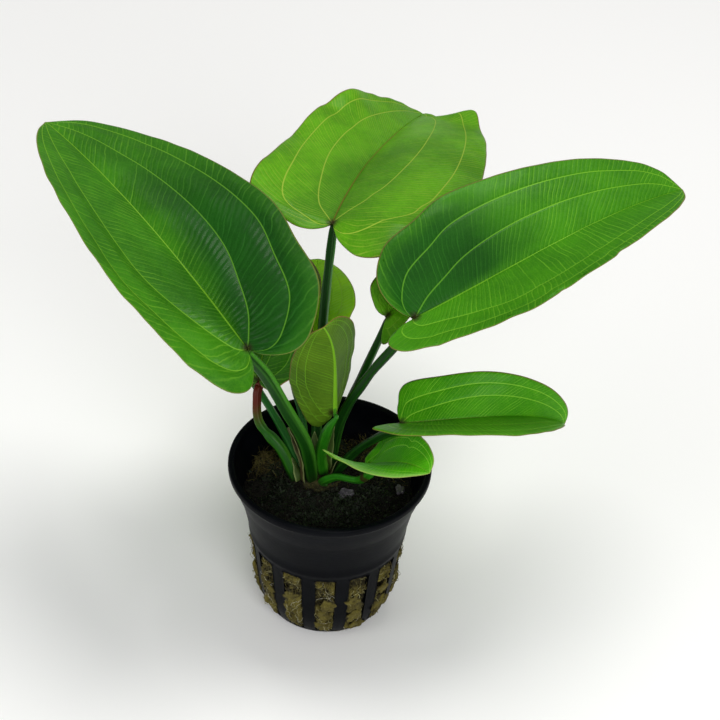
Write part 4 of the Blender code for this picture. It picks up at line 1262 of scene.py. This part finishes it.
for i, (key, leaf) in enumerate(LEAVES.items()):
    light, dark, vein, mid, margin = LOOKS[key]
    vl, vr = VEINS[key]
    rows, cols, spacing, lean, quilt, ripple = SHAPE[key]
    cuts = sorted([-v for v in vl] + [0.0] + list(vr))
    kw = dict(sectors=cuts)
    # left leaf: its right half darkened towards the joint, partly its own deeper green and partly painted shade, and a
    # painted core shade on the left half beside the midrib
    if key == "left":
        kw.update(shade=1.0, shade_side=1, shade_reach=(32.0, 96.0), shade_hue=(0.12, 0.32, 0.50, 1), shade_edge=0.72, core=0.5)
    # right leaf: painted shadow of the back leaf over its left half near the joint
    if key == "right":
        kw.update(shade=0.92, shade_side=-1, shade_reach=(22.0, 48.0), shade_hue=(0.08, 0.30, 0.36, 1), shade_edge=0.5)
    # back leaf: painted shade down the middle of the blade, strongest towards the joint
    if key == "back":
        kw.update(shade=0.55, shade_reach=(8.0, 66.0))
    if key == "left":
        kw.update(gloss=0.08)
    if key == "low_right":
        kw.update(pale=(0.02, 0.35, 0.18, lin(120, 184, 60)))
    if key == "front":
        kw.update(pale=(0.62, 0.9, 0.5, lin(150, 200, 96)))
    up = leaf_look("skin_" + key, 1, light, dark, vein, mid, margin, spots=0.9 if key in ("yellowing", "front") else 0.0, **kw)
    dn = leaf_look("under_" + key, -1, beneath(light), beneath(dark), vein, mid, margin, under=True, rough=0.48,
                   cross=0.75 if key == "young" else 0.5, sectors=cuts)
    build_blade(key, (vl, vr), rows, cols, up, dn, 100 + 7 * i, spacing, lean, quilt, ripple, nicks=NICKS.get(key, ()), lifts=LIFTS.get(key, ()),
                stout=1.7 if key == "young" else 1.0)

BARK = lin(34, 24, 10)
# the second colour is for the ribs and for the painted highlight on the lit side
stalk_a = stalk_look("petiole_green", lin(15, 64, 5), lin(84, 160, 44), BARK, 0.94)
stalk_b = stalk_look("petiole_deep", lin(11, 56, 5), lin(66, 142, 40), BARK, 0.96)
stalk_g = stalk_look("petiole_pale", lin(38, 116, 14), lin(92, 172, 44), lin(66, 130, 24), 0.9)
stalk_f = stalk_look("petiole_bruised", lin(38, 120, 16), lin(84, 170, 46), lin(70, 130, 30), 0.93, band=(0.66, 0.76, lin(58, 40, 22)))
stalk_j = stalk_look("petiole_teal", lin(24, 96, 26), lin(80, 156, 60), lin(30, 60, 18), 0.94)
stalk_h = stalk_look("petiole_brown", lin(26, 88, 8), lin(84, 150, 40), lin(84, 28, 12), 0.50)
build_stalk("left", stalk_a, flare=0.05, foot=16, seed=1)
build_stalk("back", stalk_b, flare=0.25, foot=12, seed=2)
build_stalk("right", stalk_b, flare=0.15, foot=12, seed=3)
build_stalk("inner_right", stalk_a, flare=0.2, foot=10, seed=4)
build_stalk("low_right", stalk_b, flare=0.2, foot=7, seed=5)
build_stalk("front", stalk_f, flare=0.15, foot=5, seed=6, flat=0.16)
build_stalk("young", stalk_g, flare=0.05, foot=8, seed=7, flat=0.05, neck=12.0, pinch=0.74)
build_stalk("old", stalk_h, flare=0.1, foot=8, seed=8, swell=((14, 0.10, 1.6), (16.5, -0.14, 1.2)))
build_stalk("yellowing", stalk_j, flare=0.2, foot=8, seed=9)
build_stalk("low_left", stalk_j, flare=0.15, foot=9, seed=10)

papery = sheath_look("sheath_papery", lin(52, 44, 16), lin(84, 70, 30), lin(128, 140, 84))
olive = sheath_look("sheath_olive", lin(44, 74, 16), lin(72, 88, 28), lin(132, 150, 86))
build_sheath("sheath_left", "left", papery, 2.0, 22.0, 120, 175, gap=0.10, seed=61, open_tip=0.25)
build_sheath("sheath_right", "right", olive, 1.0, 17.0, 130, 215, gap=0.10, seed=62, open_tip=0.2)
build_sheath("sheath_back", "back", olive, 1.0, 11.0, 120, -110, gap=0.08, seed=63, open_tip=0.2)
build_sheath("sheath_low_left", "low_left", papery, 1.0, 13.0, 150, -20, gap=0.10, seed=65, open_tip=0.25)
build_sheath("sheath_old", "old", olive, 0.8, 6.0, 110, -20, gap=0.08, seed=66, open_tip=0.2)
build_sheath("sheath_low_right", "low_right", papery, 0.8, 6.0, 130, 150, gap=0.10, seed=68, open_tip=0.3)

build_pot(plastic_look())
# the last colour is the painted shade of wool lying back in the pot
wool_side = wool_look("wool_khaki", lin(66, 59, 18), lin(98, 90, 36), lin(128, 120, 62), hollow=lin(28, 24, 8))
wool_top = wool_look("wool_wet_dark", lin(5, 5, 2), lin(15, 13, 6), lin(34, 30, 14), green=lin(9, 17, 5))
build_wool([wool_side, wool_top])
build_tufts(wool_side)
build_crown(wool_look("crown_bark", lin(34, 34, 14), lin(58, 56, 24), lin(90, 82, 40)))
build_fibres(fibre_look("fibre_pale", lin(112, 106, 58), lin(176, 172, 122)), fibre_look("fibre_khaki", lin(56, 49, 16), lin(112, 103, 52)),
             fibre_look("fibre_dark", lin(4, 4, 2), lin(30, 24, 10)), fibre_look("moss_green", lin(4, 8, 3), lin(26, 40, 12)),
             fibre_look("root_hair", lin(150, 146, 120), lin(206, 202, 180)))
slate = stone_look()
for i, (name, (at, size, spin)) in enumerate(STONES.items()):
    build_stone(name, at, size, spin, slate, 3 + 4 * i)


# =====================================================================
# Floor, light and camera
# =====================================================================
def build_floor():
    me = bpy.data.meshes.new("floor")
    me.from_pydata([(-3, -3, 0), (3, -3, 0), (3, 3, 0), (-3, 3, 0)], [], [(0, 1, 2, 3)])
    k = Look("floor_pale")
    k.set(Base_Color=(0.95, 0.95, 0.945, 1), Roughness=0.95)
    me.materials.append(k.mat)
    ob = bpy.data.objects.new("floor", me)
    bpy.context.scene.collection.objects.link(ob)


def area(name, at, to, size, power, colour=(1, 1, 1)):
    la = bpy.data.lights.new(name, "AREA")
    la.shape = "DISK"
    la.size = size
    la.energy = power
    la.color = colour
    ob = bpy.data.objects.new(name, la)
    ob.location = at
    ob.rotation_euler = (Vector(to) - Vector(at)).to_track_quat("-Z", "Y").to_euler()
    bpy.context.scene.collection.objects.link(ob)


build_floor()
area("key", (0.16, 0.22, 1.05), (0, 0.02, 0.07), 0.50, 5.2, (1.0, 0.99, 0.96))
area("fill", (0.25, -0.95, 0.66), (0, 0, 0.06), 0.8, 7.0)
area("side", (-0.85, -0.45, 0.50), (0, 0, 0.06), 0.6, 2.2)
world = bpy.data.worlds.new("studio")
bpy.context.scene.world = world
world.use_nodes = True
world.node_tree.nodes["Background"].inputs["Color"].default_value = (1, 1, 1, 1)
world.node_tree.nodes["Background"].inputs["Strength"].default_value = 0.36

cam = bpy.data.cameras.new("camera")
cam.sensor_width = 36.0
cam.lens = 101.93
cam.clip_start = 0.01
cam_ob = bpy.data.objects.new("camera", cam)
bpy.context.scene.collection.objects.link(cam_ob)
right = Vector((0.9991407, 0.0152553, 0.0385377))
up = Vector((-0.039451, 0.6351231, 0.7714028))
back = Vector((-0.0127082, -0.7722603, 0.6351792))
m = Matrix((right, up, back)).transposed().to_4x4()
m.translation = Vector((0.0, -0.406797, 0.420157))
cam_ob.matrix_world = m
bpy.context.scene.camera = cam_ob
bpy.context.scene.view_settings.view_transform = "Standard"
